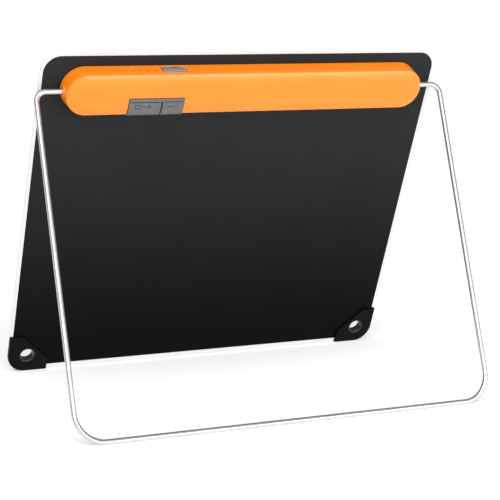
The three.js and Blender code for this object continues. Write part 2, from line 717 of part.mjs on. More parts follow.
// The light guide: a bar above the lamps, with a pin up to each dot in the pod's top side.
function makeLightGuide() {
  const first = LEDS.xs[0] - GUIDE.margin;
  const last = LEDS.xs[LEDS.xs.length - 1] + GUIDE.margin;
  const spine = box(first, last, GUIDE.rear, GUIDE.front, GUIDE.low, GUIDE.high);
  const pinLow = GUIDE.high - OVERLAP;
  const pinTop = podTop - GUIDE.pinDrop;
  const pins = LEDS.xs.map((x) => {
    return bar('z', LEDS.radius, pinTop - pinLow, [x, LEDS.y, (pinTop + pinLow) / 2], 10);
  });
  return carve(spine, { add: pins });
}

addTo(panel, 'light_guide', makeLightGuide(), MAT.lightGuide);

function chip({ x, z, half, deep }) {
  return box(x - half, x + half, boardFace - deep, boardFace, z - half, z + half);
}

addTo(panel, 'charge_controller', chip(CONTROLLER), MAT.blackPart);
addTo(panel, 'boost_inductor', chip(INDUCTOR), MAT.blackPart);
const capacitorCentre = [CAPACITOR.x, boardFace - CAPACITOR.deep / 2, CAPACITOR.z];
const capacitor = bar('y', CAPACITOR.radius, CAPACITOR.deep, capacitorCentre, 14);
addTo(panel, 'output_capacitor', capacitor, MAT.foil);

function makeBattery() {
  const { x0, x1, halfHeight, y0, y1, round } = BATTERY;
  const shape = new THREE.Shape();
  const centreY = (y0 + y1) / 2;
  const halfThick = (y0 - y1) / 2;
  const flatY = halfThick - round;
  const flatZ = halfHeight - round;
  shape.absarc(flatY, flatZ, round, 0, Math.PI / 2);
  shape.absarc(-flatY, flatZ, round, Math.PI / 2, Math.PI);
  shape.absarc(-flatY, -flatZ, round, Math.PI, 1.5 * Math.PI);
  shape.absarc(flatY, -flatZ, round, 1.5 * Math.PI, 2 * Math.PI);
  shape.closePath();
  return prism(shape, x0, x1, 3).translate(0, centreY, POD.z);
}

addTo(panel, 'battery_pack', makeBattery(), MAT.foil);
const padX = [BATTERY.x0 + PAD.inset, BATTERY.x1 - PAD.inset];
const padZ = [POD.z - PAD.halfHeight, POD.z + PAD.halfHeight];
const pad = box(padX[0], padX[1], PAD.rear, PAD.front, padZ[0], padZ[1]);
addTo(panel, 'battery_pad', pad, MAT.foam);

// Leads: two from the panel through the back plate to the board, two from the battery.
function panelLead(z) {
  const stations = [new THREE.Vector3(LEAD_HOLE.x, PLATE.thick - LEAD.clear, z)];
  const steps = 4;
  const y = boardFace - LEAD.radius - LEAD.clear;
  for (let i = 0; i <= steps; i += 1) {
    const angle = (Math.PI / 2) * (i / steps);
    const x = LEAD_HOLE.x - LEAD.bend + LEAD.bend * Math.cos(angle);
    stations.push(new THREE.Vector3(x, y + LEAD.bend - LEAD.bend * Math.sin(angle), z));
  }
  stations.push(new THREE.Vector3(BOARD.x1 - LEAD.onBoard, y, z));
  return tube(stations, LEAD.radius, 8);
}

function batteryLead(z) {
  const { drop, rise } = BATTERY_LEAD;
  const y = boardFace - drop;
  const stations = [
    new THREE.Vector3(BATTERY.x0 - GAP, y, z),
    new THREE.Vector3((BATTERY.x0 + BOARD.x1) / 2, y + rise, z),
    new THREE.Vector3(BOARD.x1 - LEAD.onBoard, y + 2 * rise, z),
  ];
  return tube(stations, LEAD.radius, 8);
}

addTo(panel, 'panel_lead_positive', panelLead(POD.z + LEAD.spacing / 2), MAT.redLead);
addTo(panel, 'panel_lead_negative', panelLead(POD.z - LEAD.spacing / 2), MAT.blackLead);
addTo(panel, 'battery_lead_positive', batteryLead(POD.z + LEAD.batterySpacing / 2), MAT.redLead);
addTo(panel, 'battery_lead_negative', batteryLead(POD.z - LEAD.batterySpacing / 2), MAT.blackLead);

// ---------------------------------------------------------------- stand pivots in the pod

const boreSides = 16;
const boreRadius = (WIRE.radius + RUNNING) / Math.cos(Math.PI / boreSides);

function makeBush(side) {
  const xs = [side * BUSH.from, side * BUSH.to].sort((p, q) => p - q);
  const zs = [POD.z - BUSH.halfHeight, POD.z + BUSH.halfHeight];
  const block = box(xs[0], xs[1], BUSH.rear, BUSH.front, zs[0], zs[1]);
  const bore = bar('x', boreRadius, 2 * PAST, [side * BUSH.from, -PIVOT_DEPTH, POD.z], boreSides);
  return carve(block, { cut: [bore] });
}

// A spring clip that grips the wire: an open ring with a flat foot.
function makeClip(side) {
  const { width, thick, footReach, footHalf } = CLIP;
  const grip = WIRE.radius + CLIP.clear;
  const x = side * CLIP.x;
  const centre = [x, -PIVOT_DEPTH, POD.z];
  const ring = bar('x', grip + thick, width, centre, 16);
  const foot = box(
    x - width / 2, x + width / 2,
    -PIVOT_DEPTH - footReach, -PIVOT_DEPTH - grip,
    POD.z - footHalf, POD.z + footHalf,
  );
  const bore = bar('x', grip, PAST, centre, 16);
  const { half, from } = CLIP_MOUTH;
  const mouth = box(x - width, x + width, from - PIVOT_DEPTH, PAST, POD.z - half, POD.z + half);
  return carve(ring, { add: [foot], cut: [bore, mouth] });
}

for (const [label, side] of [['left', -1], ['right', 1]]) {
  addTo(panel, `${label}_pivot_bush`, makeBush(side), MAT.nylon);
  addTo(panel, `${label}_friction_clip`, makeClip(side), MAT.steel);
}

// ---------------------------------------------------------------- wire stand

// The stand is drawn hanging straight down from its pivot axis, which is its own x axis.
const stand = new THREE.Group();

// One continuous wire: down the right-hand leg, along the foot bar and up the left-hand leg.
function wireStations() {
  const { halfWidth, leg, topBend, footBend, end } = WIRE;
  const right = [
    new THREE.Vector3(end, 0, 0),
    ...bend(halfWidth - topBend, -topBend, topBend, Math.PI / 2, 0, 5),
    new THREE.Vector3(halfWidth, 0, -leg / 3),
    new THREE.Vector3(halfWidth, 0, (-2 * leg) / 3),
    ...bend(halfWidth - footBend, footBend - leg, footBend, 0, -Math.PI / 2, 7),
  ];
  const left = right.map((point) => new THREE.Vector3(-point.x, 0, point.z)).reverse();
  return [...right, new THREE.Vector3(0, 0, -leg), ...left];
}

addTo(stand, 'kickstand_wire', tube(wireStations(), WIRE.radius, 12), MAT.wire);

// A collar on each end of the wire, inside its bush, keeps the wire in the pod.
function makeCollar(side) {
  const centre = [side * COLLAR.x, 0, 0];
  const ring = bar('x', COLLAR.radius, COLLAR.width, centre, 16);
  return carve(ring, { cut: [bar('x', WIRE.radius + GAP, PAST, centre, 16)] });
}

addTo(stand, 'left_stand_collar', makeCollar(-1), MAT.steel);
addTo(stand, 'right_stand_collar', makeCollar(1), MAT.steel);

// ---------------------------------------------------------------- standing pose

// Lean the panel, lift it until its bumpers touch the ground, then open the stand until
// its foot bar does too.
panel.rotation.x = LEAN;
panel.updateMatrixWorld(true);
const leaning = new THREE.Box3().setFromObject(panel, true);
panel.position.z = -leaning.min.z;

const pivot = new THREE.Vector3(0, -PIVOT_DEPTH, POD.z);
pivot.applyAxisAngle(new THREE.Vector3(1, 0, 0), LEAN);
const pivotHeight = pivot.z + panel.position.z;
const opening = Math.acos((pivotHeight - WIRE.radius) / WIRE.leg);
stand.position.set(0, pivot.y, pivotHeight);
stand.rotation.x = -opening;

const solarPanel = new THREE.Group();
solarPanel.add(panel, stand);

// The origin is the middle of the ground that the object covers.
solarPanel.updateMatrixWorld(true);
const whole = new THREE.Box3().setFromObject(solarPanel, true);
solarPanel.position.y = -(whole.min.y + whole.max.y) / 2;

export default solarPanel;
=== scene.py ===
"""Looks of a portable solar panel: a leaning panel seen from behind, with an orange battery
pod across its top, a grey port cover, rubber corner bumpers and a wire kickstand.

Fine pieces are drawn in millimetres, in the panel's own upright frame: x to the right as seen
from behind, y out of the sunny front face, z up the panel, with the rear face of the back
plate at y = 0 and its lower edge at z = 0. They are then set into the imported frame, in metres.
"""

import json
import math

import bmesh
import bpy
from mathutils import Matrix, Vector


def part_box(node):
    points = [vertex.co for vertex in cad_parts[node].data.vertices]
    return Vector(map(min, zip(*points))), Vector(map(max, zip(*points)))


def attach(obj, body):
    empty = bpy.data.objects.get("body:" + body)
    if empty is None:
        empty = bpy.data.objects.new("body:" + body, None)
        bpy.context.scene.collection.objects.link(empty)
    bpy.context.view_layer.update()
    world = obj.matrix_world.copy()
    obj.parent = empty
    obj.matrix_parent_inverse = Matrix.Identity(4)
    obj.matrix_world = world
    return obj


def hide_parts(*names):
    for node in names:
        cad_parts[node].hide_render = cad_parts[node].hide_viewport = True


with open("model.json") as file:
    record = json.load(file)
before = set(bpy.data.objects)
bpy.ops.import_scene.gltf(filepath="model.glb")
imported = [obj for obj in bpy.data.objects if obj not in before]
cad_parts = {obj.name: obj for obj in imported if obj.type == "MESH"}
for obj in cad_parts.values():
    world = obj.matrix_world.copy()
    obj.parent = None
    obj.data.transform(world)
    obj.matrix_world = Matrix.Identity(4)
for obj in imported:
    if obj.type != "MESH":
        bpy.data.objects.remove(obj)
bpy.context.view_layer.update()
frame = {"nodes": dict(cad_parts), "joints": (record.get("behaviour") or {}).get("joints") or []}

# ------------------------------------------------------------------ where things are

MM = 0.001
joints = {joint["name"]: joint for joint in frame["joints"]}
press_axis = Vector(joints["power_press"]["axis"])   # straight down the panel
LEAN = math.atan2(press_axis.y, -press_axis.z)


def node_points(node):
    return [vertex.co for vertex in frame["nodes"][node].data.vertices]


def box_in(node, to_local):
    """Lowest and highest corner of a CAD node in another frame."""
    points = [to_local @ point for point in node_points(node)]
    low = Vector([min(point[i] for point in points) for i in range(3)])
    high = Vector([max(point[i] for point in points) for i in range(3)])
    return low, high


def panel_frame_matrix():
    """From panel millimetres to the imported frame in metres."""
    turn = Matrix.Rotation(LEAN, 4, "X")
    plate_low, _ = box_in("back_plate", turn.inverted())
    foot = turn @ Vector((0, plate_low.y, plate_low.z))
    return Matrix.Translation(foot) @ turn @ Matrix.Scale(MM, 4)


PANEL = panel_frame_matrix()
TO_PANEL = PANEL.inverted()

plate_low, plate_high = box_in("back_plate", TO_PANEL)
rim_low, rim_high = box_in("panel_frame", TO_PANEL)
sheet_low, sheet_high = box_in("front_sheet", TO_PANEL)
pod_low, pod_high = box_in("pod_cover", TO_PANEL)
strip_low, strip_high = box_in("port_cover_strip", TO_PANEL)
out_low, out_high = box_in("usb_out_flap", TO_PANEL)
in_low, in_high = box_in("usb_in_flap", TO_PANEL)
button_low, button_high = box_in("power_button", TO_PANEL)
bumper_low, bumper_high = box_in("right_bumper", TO_PANEL)
pivot = TO_PANEL @ Vector(joints["kickstand_turn"]["pos_m"])

pod_z = (pod_low.z + pod_high.z) / 2
pod_radius = (pod_high.z - pod_low.z) / 2
pod_rear = pod_low.y
pod_front = pod_high.y

# Roundings and walls, in millimetres, that the boxes of the nodes do not tell.
CLEAR = 0.3
PAST, FRAME_PAST, BUMPER_PAST = 3.0, 2.0, 5.0   # how far cutters run past what they cut
PLATE_CORNER, PLATE_EDGE = 10.0, 0.15
RIM_CORNER, RIM_EDGE = 11.6, 0.25
SHEET_INSET, SHEET_EDGE = 0.8, 0.25
POD_EDGE_DEPTH, POD_EDGE_WIDTH, POD_WALL = 2.6, 7.0, 1.8
POD_CROWN, POD_CREASE = 1.8, 0.5   # fall of the rear face to its edge, softening of that edge
POD_DRAFT = 0.9                    # how much the sides draw in from the panel to the rear face
HUB_RADIUS, HUB_LENGTH, HUB_TAPER = 4.2, 4.0, 1.2
COVER_TOP, COVER_GROOVE, COVER_END = 184.4, 182.4, 3.0
COVER_PROUD, COVER_SUNK, COVER_SEAT = 0.8, 0.7, 1.0
BUMPER_SIZE, BUMPER_SHELF, BUMPER_CORNER, BUMPER_WALL = 24.6, 8.2, 11.0, 1.2
BUMPER_REAR_EDGE = 0.6
BUMPER_CHAMFER_DEPTH, BUMPER_CHAMFER_WIDTH = 2.2, 1.5
POCKET_CLEAR = 0.1                 # round the panel's layers, inside a bumper
EYELET_X, EYELET_Z, EYELET_RADIUS, EYELET_SLEEVE = 112.3, 8.6, 4.0, 5.7
EYELET_REAR_LIP, EYELET_FRONT_LIP = 0.8, 0.2
WIRE_RADIUS, WIRE_TOP_BEND, WIRE_FOOT_BEND, WIRE_END = 1.5, 6.0, 16.5, 92.3
WIRE_SIDES = 28

# ------------------------------------------------------------------ camera, floor and light

CAMERA_PLACE = (-0.3739, -0.8052, 0.2755)
CAMERA_TURN = (23.615, 12.587, 1.669)      # azimuth, elevation and roll, in degrees
CAMERA_LENS, CAMERA_SENSOR = 111.97, 36
CAMERA_SHIFT = (0.0775, 0.0170)
SKY_POWER, STRIP_POWER, KEY_POWER, FLOOR_GLOW = 0.27, 9.5, 2.35, 0.29


def make_camera():
    """The camera stands low, a little to the left, behind the panel."""
    azimuth, elevation, roll = (math.radians(a) for a in CAMERA_TURN)
    data = bpy.data.cameras.new("camera")
    data.sensor_width = CAMERA_SENSOR
    data.lens = CAMERA_LENS
    data.shift_x, data.shift_y = CAMERA_SHIFT
    camera = bpy.data.objects.new("camera", data)
    bpy.context.scene.collection.objects.link(camera)
    forward = Vector((
        math.sin(azimuth) * math.cos(elevation),
        math.cos(azimuth) * math.cos(elevation),
        -math.sin(elevation),
    ))
    level = Vector((math.cos(azimuth), -math.sin(azimuth), 0))
    upright = level.cross(forward)
    right = level * math.cos(roll) + upright * math.sin(roll)
    up = upright * math.cos(roll) - level * math.sin(roll)
    turn = Matrix((right, up, -forward)).transposed().to_4x4()
    camera.matrix_world = Matrix.Translation(CAMERA_PLACE) @ turn
    data.clip_start, data.clip_end = 0.01, 50
    bpy.context.scene.camera = camera


def aim_at(lamp, aim):
    lamp.rotation_euler = (Vector(aim) - lamp.location).to_track_quat("-Z", "Y").to_euler()


def make_lamp(name, kind, place, aim, power):
    data = bpy.data.lights.new(name, kind)
    data.energy = power
    lamp = bpy.data.objects.new(name, data)
    bpy.context.scene.collection.objects.link(lamp)
    lamp.location = place
    aim_at(lamp, aim)
    return data


def make_studio():
    """A dim white room, a low strip light on the camera's side and a soft key light above it."""
    scene = bpy.context.scene
    scene.view_settings.view_transform = "Standard"
    world = bpy.data.worlds.new("studio")
    world.use_nodes = True
    sky = world.node_tree.nodes["Background"]
    sky.inputs["Color"].default_value = (1, 1, 1, 1)
    sky.inputs["Strength"].default_value = SKY_POWER
    scene.world = world
    strip = make_lamp("strip_light", "AREA", (0.55, -1.3, 0.32), (0, -0.05, 0.18), STRIP_POWER)
    strip.shape = "RECTANGLE"
    strip.size, strip.size_y = 1.3, 0.3
    key = make_lamp("key_light", "SUN", (-0.35, -0.6, 0.75), (0, 0, 0), KEY_POWER)
    key.angle = math.radians(60)

    mesh = bpy.data.meshes.new("floor")
    reach = 15
    corners = [(-reach, -reach, 0), (reach, -reach, 0), (reach, reach, 0), (-reach, reach, 0)]
    mesh.from_pydata(corners, [], [(0, 1, 2, 3)])
    floor = bpy.data.objects.new("floor", mesh)
    scene.collection.objects.link(floor)
    paper = bpy.data.materials.new("white_floor")
    paper.use_nodes = True
    shader = paper.node_tree.nodes["Principled BSDF"]
    shader.inputs["Base Color"].default_value = (0.93, 0.93, 0.93, 1)
    shader.inputs["Roughness"].default_value = 0.8
    shader.inputs["Specular IOR Level"].default_value = 0.1
    shader.inputs["Emission Color"].default_value = (1, 1, 1, 1)
    shader.inputs["Emission Strength"].default_value = FLOOR_GLOW
    mesh.materials.append(paper)


make_camera()
make_studio()

# ------------------------------------------------------------------ materials


def node(material, kind, **values):
    made = material.node_tree.nodes.new(kind)
    for name, value in values.items():
        if hasattr(made, name):
            setattr(made, name, value)
        else:
            made.inputs[name.replace("_", " ")].default_value = value
    return made


def start_material(name, metallic=0.0, specular=0.5):
    material = bpy.data.materials.new(name)
    material.use_nodes = True
    shader = material.node_tree.nodes["Principled BSDF"]
    shader.inputs["Metallic"].default_value = metallic
    shader.inputs["Specular IOR Level"].default_value = specular
    return material, shader


def position(material, lean=0.0):
    """Object coordinates in millimetres, turned upright with the panel if lean is given."""
    place = node(material, "ShaderNodeTexCoord")
    mapping = node(material, "ShaderNodeMapping")
    mapping.inputs["Rotation"].default_value = (-lean, 0, 0)
    mapping.inputs["Scale"].default_value = (1 / MM, 1 / MM, 1 / MM)
    material.node_tree.links.new(place.outputs["Object"], mapping.inputs["Vector"])
    return mapping.outputs["Vector"]


def noise(material, vector, scale, detail=3.0, roughness=0.5):
    made = node(material, "ShaderNodeTexNoise", Scale=scale, Detail=detail, Roughness=roughness)
    material.node_tree.links.new(vector, made.inputs["Vector"])
    return made.outputs["Fac"]


def spread(material, value, low, high, from_low=0.3, from_high=0.7):
    """Maps a noise onto a range."""
    made = node(material, "ShaderNodeMapRange")
    made.inputs["From Min"].default_value = from_low
    made.inputs["From Max"].default_value = from_high
    made.inputs["To Min"].default_value = low
    made.inputs["To Max"].default_value = high
    material.node_tree.links.new(value, made.inputs["Value"])
    return made.outputs["Result"]


def blend_colours(material, factor, first, second):
    made = node(material, "ShaderNodeMix", data_type="RGBA")
    made.inputs[6].default_value = (*first, 1)
    made.inputs[7].default_value = (*second, 1)
    material.node_tree.links.new(factor, made.inputs[0])
    return made.outputs[2]


def bump(material, shader, height, depth):
    """Depth is in millimetres."""
    made = node(material, "ShaderNodeBump")
    made.inputs["Strength"].default_value = 1.0
    made.inputs["Distance"].default_value = depth * MM
    material.node_tree.links.new(height, made.inputs["Height"])
    material.node_tree.links.new(made.outputs["Normal"], shader.inputs["Normal"])


def surface(name, first, second, mottle, roughness, grain, depth,
            metallic=0.0, specular=0.5):
    """A material of two close colours in soft patches, uneven roughness and a fine grain.

    mottle and grain are noise scales per millimetre, roughness is (smoothest, roughest).
    """
    material, shader = start_material(name, metallic=metallic, specular=specular)
    links = material.node_tree.links
    where = position(material)
    patches = noise(material, where, mottle)
    fine = noise(material, where, grain, detail=4.0, roughness=0.6)
    colour = blend_colours(material, spread(material, patches, 0, 1), first, second)
    links.new(colour, shader.inputs["Base Color"])
    links.new(spread(material, fine, *roughness), shader.inputs["Roughness"])
    bump(material, shader, fine, depth)
    return material


def make_black_plate():
    """Satin black plastic with a fine moulded grain; its base colour carries a painted sheen, lighter
    towards the top.
    """
    material, shader = start_material("black_plate", specular=0.05)
    links = material.node_tree.links
    where = position(material, lean=LEAN)
    split = node(material, "ShaderNodeSeparateXYZ")
    links.new(where, split.inputs["Vector"])
    # painted sheen: the base colour fades from near black at the foot to dark grey at the top,
    # standing in for reflected light; the noise patches below add random tone on top of it
    foot = (Matrix.Rotation(-LEAN, 3, "X") @ PANEL.translation).z / MM
    painted_sheen_fade = spread(material, split.outputs["Z"], 0, 1, foot, foot + plate_high.z)
    painted_sheen_fade.node.interpolation_type = "SMOOTHSTEP"
    colour = blend_colours(material, painted_sheen_fade, (0.0016, 0.0016, 0.0017), (0.0235, 0.0250, 0.0262))
    patches = noise(material, where, 0.03)
    sheen_and_mottle = node(material, "ShaderNodeHueSaturation")
    links.new(colour, sheen_and_mottle.inputs["Color"])
    links.new(spread(material, patches, 0.92, 1.08), sheen_and_mottle.inputs["Value"])
    links.new(sheen_and_mottle.outputs["Color"], shader.inputs["Base Color"])
    grain = noise(material, where, 1.6, detail=4.0, roughness=0.6)
    links.new(spread(material, grain, 0.42, 0.52), shader.inputs["Roughness"])
    bump(material, shader, grain, 0.012)
    return material


def make_wire_metal():
    """Satin bright metal, finely drawn along its length, with faint longer marks."""
    material, shader = start_material("stand_wire", metallic=1.0)
    links = material.node_tree.links
    where = position(material)
    patches = noise(material, where, 0.12)
    drawn = noise(material, where, 3.0, detail=5.0, roughness=0.65)
    tone = blend_colours(
        material, spread(material, patches, 0, 1), (0.60, 0.60, 0.61), (0.70, 0.70, 0.70))
    links.new(tone, shader.inputs["Base Color"])
    links.new(spread(material, drawn, 0.34, 0.44), shader.inputs["Roughness"])
    bump(material, shader, drawn, 0.006)
    return material


def make_cell_silicon():
    """Near-black silicon with the fine silver fingers of the front contact.

    The fingers run up the panel, one for each step of the piece's own map.
    """
    material, shader = start_material("solar_cell")
    links = material.node_tree.links
    where = position(material)
    patches = noise(material, where, 0.08)
    base = blend_colours(
        material, spread(material, patches, 0, 1), (0.004, 0.006, 0.016), (0.008, 0.011, 0.028))
    sheet = node(material, "ShaderNodeUVMap", uv_map="cell")
    split = node(material, "ShaderNodeSeparateXYZ")
    links.new(sheet.outputs["UV"], split.inputs["Vector"])
    saw = node(material, "ShaderNodeMath", operation="FRACT")
    links.new(split.outputs["X"], saw.inputs[0])
    thin = node(material, "ShaderNodeMath", operation="LESS_THAN")
    thin.inputs[1].default_value = 0.09
    links.new(saw.outputs[0], thin.inputs[0])
    mix = node(material, "ShaderNodeMix", data_type="RGBA")
    links.new(thin.outputs[0], mix.inputs[0])
    links.new(base, mix.inputs[6])
    mix.inputs[7].default_value = (0.10, 0.11, 0.13, 1)
    links.new(mix.outputs[2], shader.inputs["Base Color"])
    links.new(spread(material, patches, 0.18, 0.28), shader.inputs["Roughness"])
    return material


def make_clear_sheet():
    """A clear laminate with a soft orange-peel texture."""
    material, shader = start_material("clear_sheet")
    shader.inputs["Transmission Weight"].default_value = 1.0
    shader.inputs["IOR"].default_value = 1.42
    where = position(material)
    colour = blend_colours(
        material, noise(material, where, 0.05), (0.93, 0.95, 0.96), (0.97, 0.98, 0.98))
    material.node_tree.links.new(colour, shader.inputs["Base Color"])
    peel = noise(material, where, 0.9, detail=2.0)
    material.node_tree.links.new(spread(material, peel, 0.10, 0.18), shader.inputs["Roughness"])
    bump(material, shader, peel, 0.04)
    return material


MATERIALS = {
    "black_plate": make_black_plate(),
    "stand_wire": make_wire_metal(),
    "solar_cell": make_cell_silicon(),
    "clear_sheet": make_clear_sheet(),
    "white_frame": surface(
        "white_frame", (0.67, 0.67, 0.665), (0.72, 0.72, 0.715), 0.03, (0.38, 0.5), 1.2, 0.01),
    "orange_plastic": surface(
        "orange_plastic", (0.97, 0.240, 0.009), (0.985, 0.256, 0.011), 0.02,
        (0.25, 0.32), 2.2, 0.008, specular=0.52),
    "black_rubber": surface(
        "black_rubber", (0.0020, 0.0020, 0.0021), (0.0040, 0.0040, 0.0041), 0.15,
        (0.36, 0.50), 2.0, 0.03, specular=0.07),
    # the eyelets' bores: the same rubber as the bumpers, glossier, with a lighter base colour that is
    # painted light on the bore wall and lip
    "lit_bore_rubber": surface(
        "lit_bore_rubber", (0.012, 0.012, 0.012), (0.020, 0.020, 0.020), 0.4,
        (0.24, 0.34), 2.0, 0.01, specular=0.5),
    "grey_rubber": surface(
        "grey_rubber", (0.122, 0.124, 0.127), (0.146, 0.148, 0.151), 0.15,
        (0.5, 0.64), 2.4, 0.02, specular=0.3),
    "grey_plastic": surface(
        "grey_plastic", (0.22, 0.225, 0.23), (0.255, 0.26, 0.265), 0.2,
        (0.40, 0.52), 2.4, 0.012, specular=0.4),
    "foam": surface("foam", (0.018, 0.018, 0.018), (0.05, 0.05, 0.05), 2.0, (0.85, 1.0), 3.0, 0.15),
    "screw_steel": surface(
        "screw_steel", (0.42, 0.42, 0.43), (0.56, 0.56, 0.57), 0.6, (0.28, 0.42), 4.0, 0.01,
        metallic=1.0),
    "board_green": surface(
        "board_green", (0.004, 0.085, 0.035), (0.008, 0.13, 0.055), 0.4, (0.3, 0.45), 1.5, 0.03),
    "plated_steel": surface(
        "plated_steel", (0.58, 0.58, 0.57), (0.70, 0.70, 0.69), 0.5, (0.2, 0.34), 3.0, 0.008,
        metallic=1.0),
    "black_insulator": surface(
        "black_insulator", (0.008, 0.008, 0.008), (0.016, 0.016, 0.016), 0.6, (0.45, 0.6), 3.0, 0.015),
    "led_lens": surface(
        "led_lens", (0.70, 0.68, 0.45), (0.85, 0.83, 0.60), 1.2, (0.2, 0.35), 3.0, 0.01),
    "light_guide_clear": surface(
        "light_guide_clear", (0.09, 0.024, 0.005), (0.13, 0.034, 0.008), 1.2, (0.3, 0.45), 3.0, 0.01),
    "battery_foil": surface(
        "battery_foil", (0.50, 0.51, 0.53), (0.66, 0.67, 0.69), 0.12, (0.3, 0.5), 0.6, 0.08,
        metallic=0.85),
    "red_lead": surface(
        "red_lead", (0.42, 0.012, 0.010), (0.55, 0.022, 0.018), 0.5, (0.4, 0.55), 3.0, 0.01),
    "black_lead": surface(
        "black_lead", (0.007, 0.007, 0.007), (0.014, 0.014, 0.014), 0.5, (0.4, 0.55), 3.0, 0.01),
    "natural_nylon": surface(
        "natural_nylon", (0.66, 0.64, 0.58), (0.76, 0.74, 0.68), 0.4, (0.4, 0.55), 2.0, 0.01),
    "ribbon_silver": surface(
        "ribbon_silver", (0.62, 0.63, 0.65), (0.74, 0.75, 0.77), 0.5, (0.25, 0.4), 3.0, 0.01,
        metallic=1.0),
    "mark_ink": surface(
        "mark_ink", (0.020, 0.020, 0.021), (0.030, 0.030, 0.031), 1.0, (0.5, 0.65), 3.0, 0.01),
}

# ------------------------------------------------------------------ solid modelling


def outline(corners, inset=0.0):
    """Points round a polygon of (u, v, radius) corners, anticlockwise, moved inwards by inset."""
    count = len(corners)
    points = []
    for i, (u, v, radius) in enumerate(corners):
        here = Vector((u, v))
        arriving = (here - Vector(corners[i - 1][:2])).normalized()
        leaving = (Vector(corners[(i + 1) % count][:2]) - here).normalized()
        side_in = Vector((-arriving.y, arriving.x))
        side_out = Vector((-leaving.y, leaving.x))
        mitre = (side_in + side_out) / (1 + side_in.dot(side_out))
        corner = here + mitre * inset
        if radius == 0:
            points.append(corner)
            continue
        turn = 1 if arriving.x * leaving.y - arriving.y * leaving.x > 0 else -1
        round_radius = max(radius - turn * inset, 0.01)
        sweep = arriving.angle(leaving)
        steps = max(3, math.ceil(sweep / (math.pi / 2) * (4 + radius)))
        centre = corner + mitre * (turn * round_radius)
        spoke = side_in * (-turn * round_radius)
        for k in range(steps + 1):
            angle = turn * sweep * k / steps
            cos, sin = math.cos(angle), math.sin(angle)
            turned = Vector((spoke.x * cos - spoke.y * sin, spoke.x * sin + spoke.y * cos))
            points.append(centre + turned)
    return points


def rectangle(u0, u1, v0, v1, radius):
    return [(u0, v0, radius), (u1, v0, radius), (u1, v1, radius), (u0, v1, radius)]


def place_on(axis, u, v, depth):
    """A drawn point with its depth along x, y or z."""
    return {"x": Vector((depth, u, v)), "y": Vector((u, depth, v)), "z": Vector((u, v, depth))}[axis]


def edge_profile(low, high, low_edge=0.0, high_edge=0.0, steps=5):
    """(depth, inset) pairs of a block whose edges are rounded at its low and high ends.

    An edge is a radius, or the (depth, width) of a quarter ellipse.
    """
    profile = []
    for end, edge, sign in ((low, low_edge, 1), (high, high_edge, -1)):
        deep, wide = edge if isinstance(edge, tuple) else (edge, edge)
        part = [(end, 0.0)]
        if deep > 0:
            angles = [math.pi / 2 * k / steps for k in range(steps + 1)]
            part = [(end + sign * deep * (1 - math.sin(a)), wide * (1 - math.cos(a)))
                    for a in reversed(angles)]
        profile += part if sign > 0 else part[::-1]
    return profile


def from_rings(name, rings):
    """A closed mesh through rings of equal length, with a flat cap at each end."""
    work = bmesh.new()
    loops = [[work.verts.new(point) for point in ring] for ring in rings]
    for lower, upper in zip(loops, loops[1:]):
        for i in range(len(lower)):
            j = (i + 1) % len(lower)
            work.faces.new((lower[i], lower[j], upper[j], upper[i]))
    work.faces.new(loops[0][::-1])
    work.faces.new(loops[-1])
    bmesh.ops.remove_doubles(work, verts=work.verts, dist=1e-4)
    bmesh.ops.recalc_face_normals(work, faces=work.faces)
    mesh = bpy.data.meshes.new(name)
    work.to_mesh(mesh)
    work.free()
    piece = bpy.data.objects.new(name, mesh)
    bpy.context.scene.collection.objects.link(piece)
    return piece


def block(name, corners, profile, axis="y"):
    """An outline stacked along an axis, drawn in by the inset at each depth."""
    rings = []
    for depth, inset in profile:
        rings.append([place_on(axis, point.x, point.y, depth) for point in outline(corners, inset)])
    return from_rings(name, rings)


def disc(radius, u=0.0, v=0.0):
    """Corners of a circle, drawn as a square with full rounding."""
    return rectangle(u - radius, u + radius, v - radius, v + radius, radius)


def bake_modifiers(piece):
    bpy.context.view_layer.update()
    graph = bpy.context.evaluated_depsgraph_get()
    mesh = bpy.data.meshes.new_from_object(piece.evaluated_get(graph))
    old = piece.data
    piece.modifiers.clear()
    piece.data = mesh
    bpy.data.meshes.remove(old)


def combine(piece, others, operation):
    """Joins, cuts or crosses a piece with others, which are used up."""
    for other in others:
        step = piece.modifiers.new("combine", "BOOLEAN")
        step.operation = operation
        step.solver = "EXACT"
        step.object = other
        step.material_mode = "TRANSFER"
        bake_modifiers(piece)
        bpy.data.objects.remove(other)
    return piece


def cut(piece, *others):
    return combine(piece, others, "DIFFERENCE")


def join(piece, *others):
    return combine(piece, others, "UNION")


def paint(piece, finish):
    """Gives a piece one finish, in place of whatever it has."""
    piece.data.materials.clear()
    piece.data.materials.append(MATERIALS[finish])


def soften(piece, width, angle=40.0):
    """Rounds the sharp edges of a piece."""
    step = piece.modifiers.new("soften", "BEVEL")
    step.width = width
    step.segments = 3
    step.limit_method = "ANGLE"
    step.angle_limit = math.radians(angle)
    bake_modifiers(piece)


def settle(piece, body, slot, replaces=(), place=PANEL, sharp=32.0, finish=None):
    """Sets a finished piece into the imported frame, on its body, with its finish."""
    piece.data.transform(place)
    piece.data.shade_smooth()
    piece.data.set_sharp_from_angle(angle=math.radians(sharp))
    step = piece.modifiers.new("even_shading", "WEIGHTED_NORMAL")
    step.keep_sharp = True
    if finish or not any(piece.data.materials):
        paint(piece, finish or slot)
    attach(piece, body)
    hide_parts(*replaces)
    return piece


# ------------------------------------------------------------------ panel layers

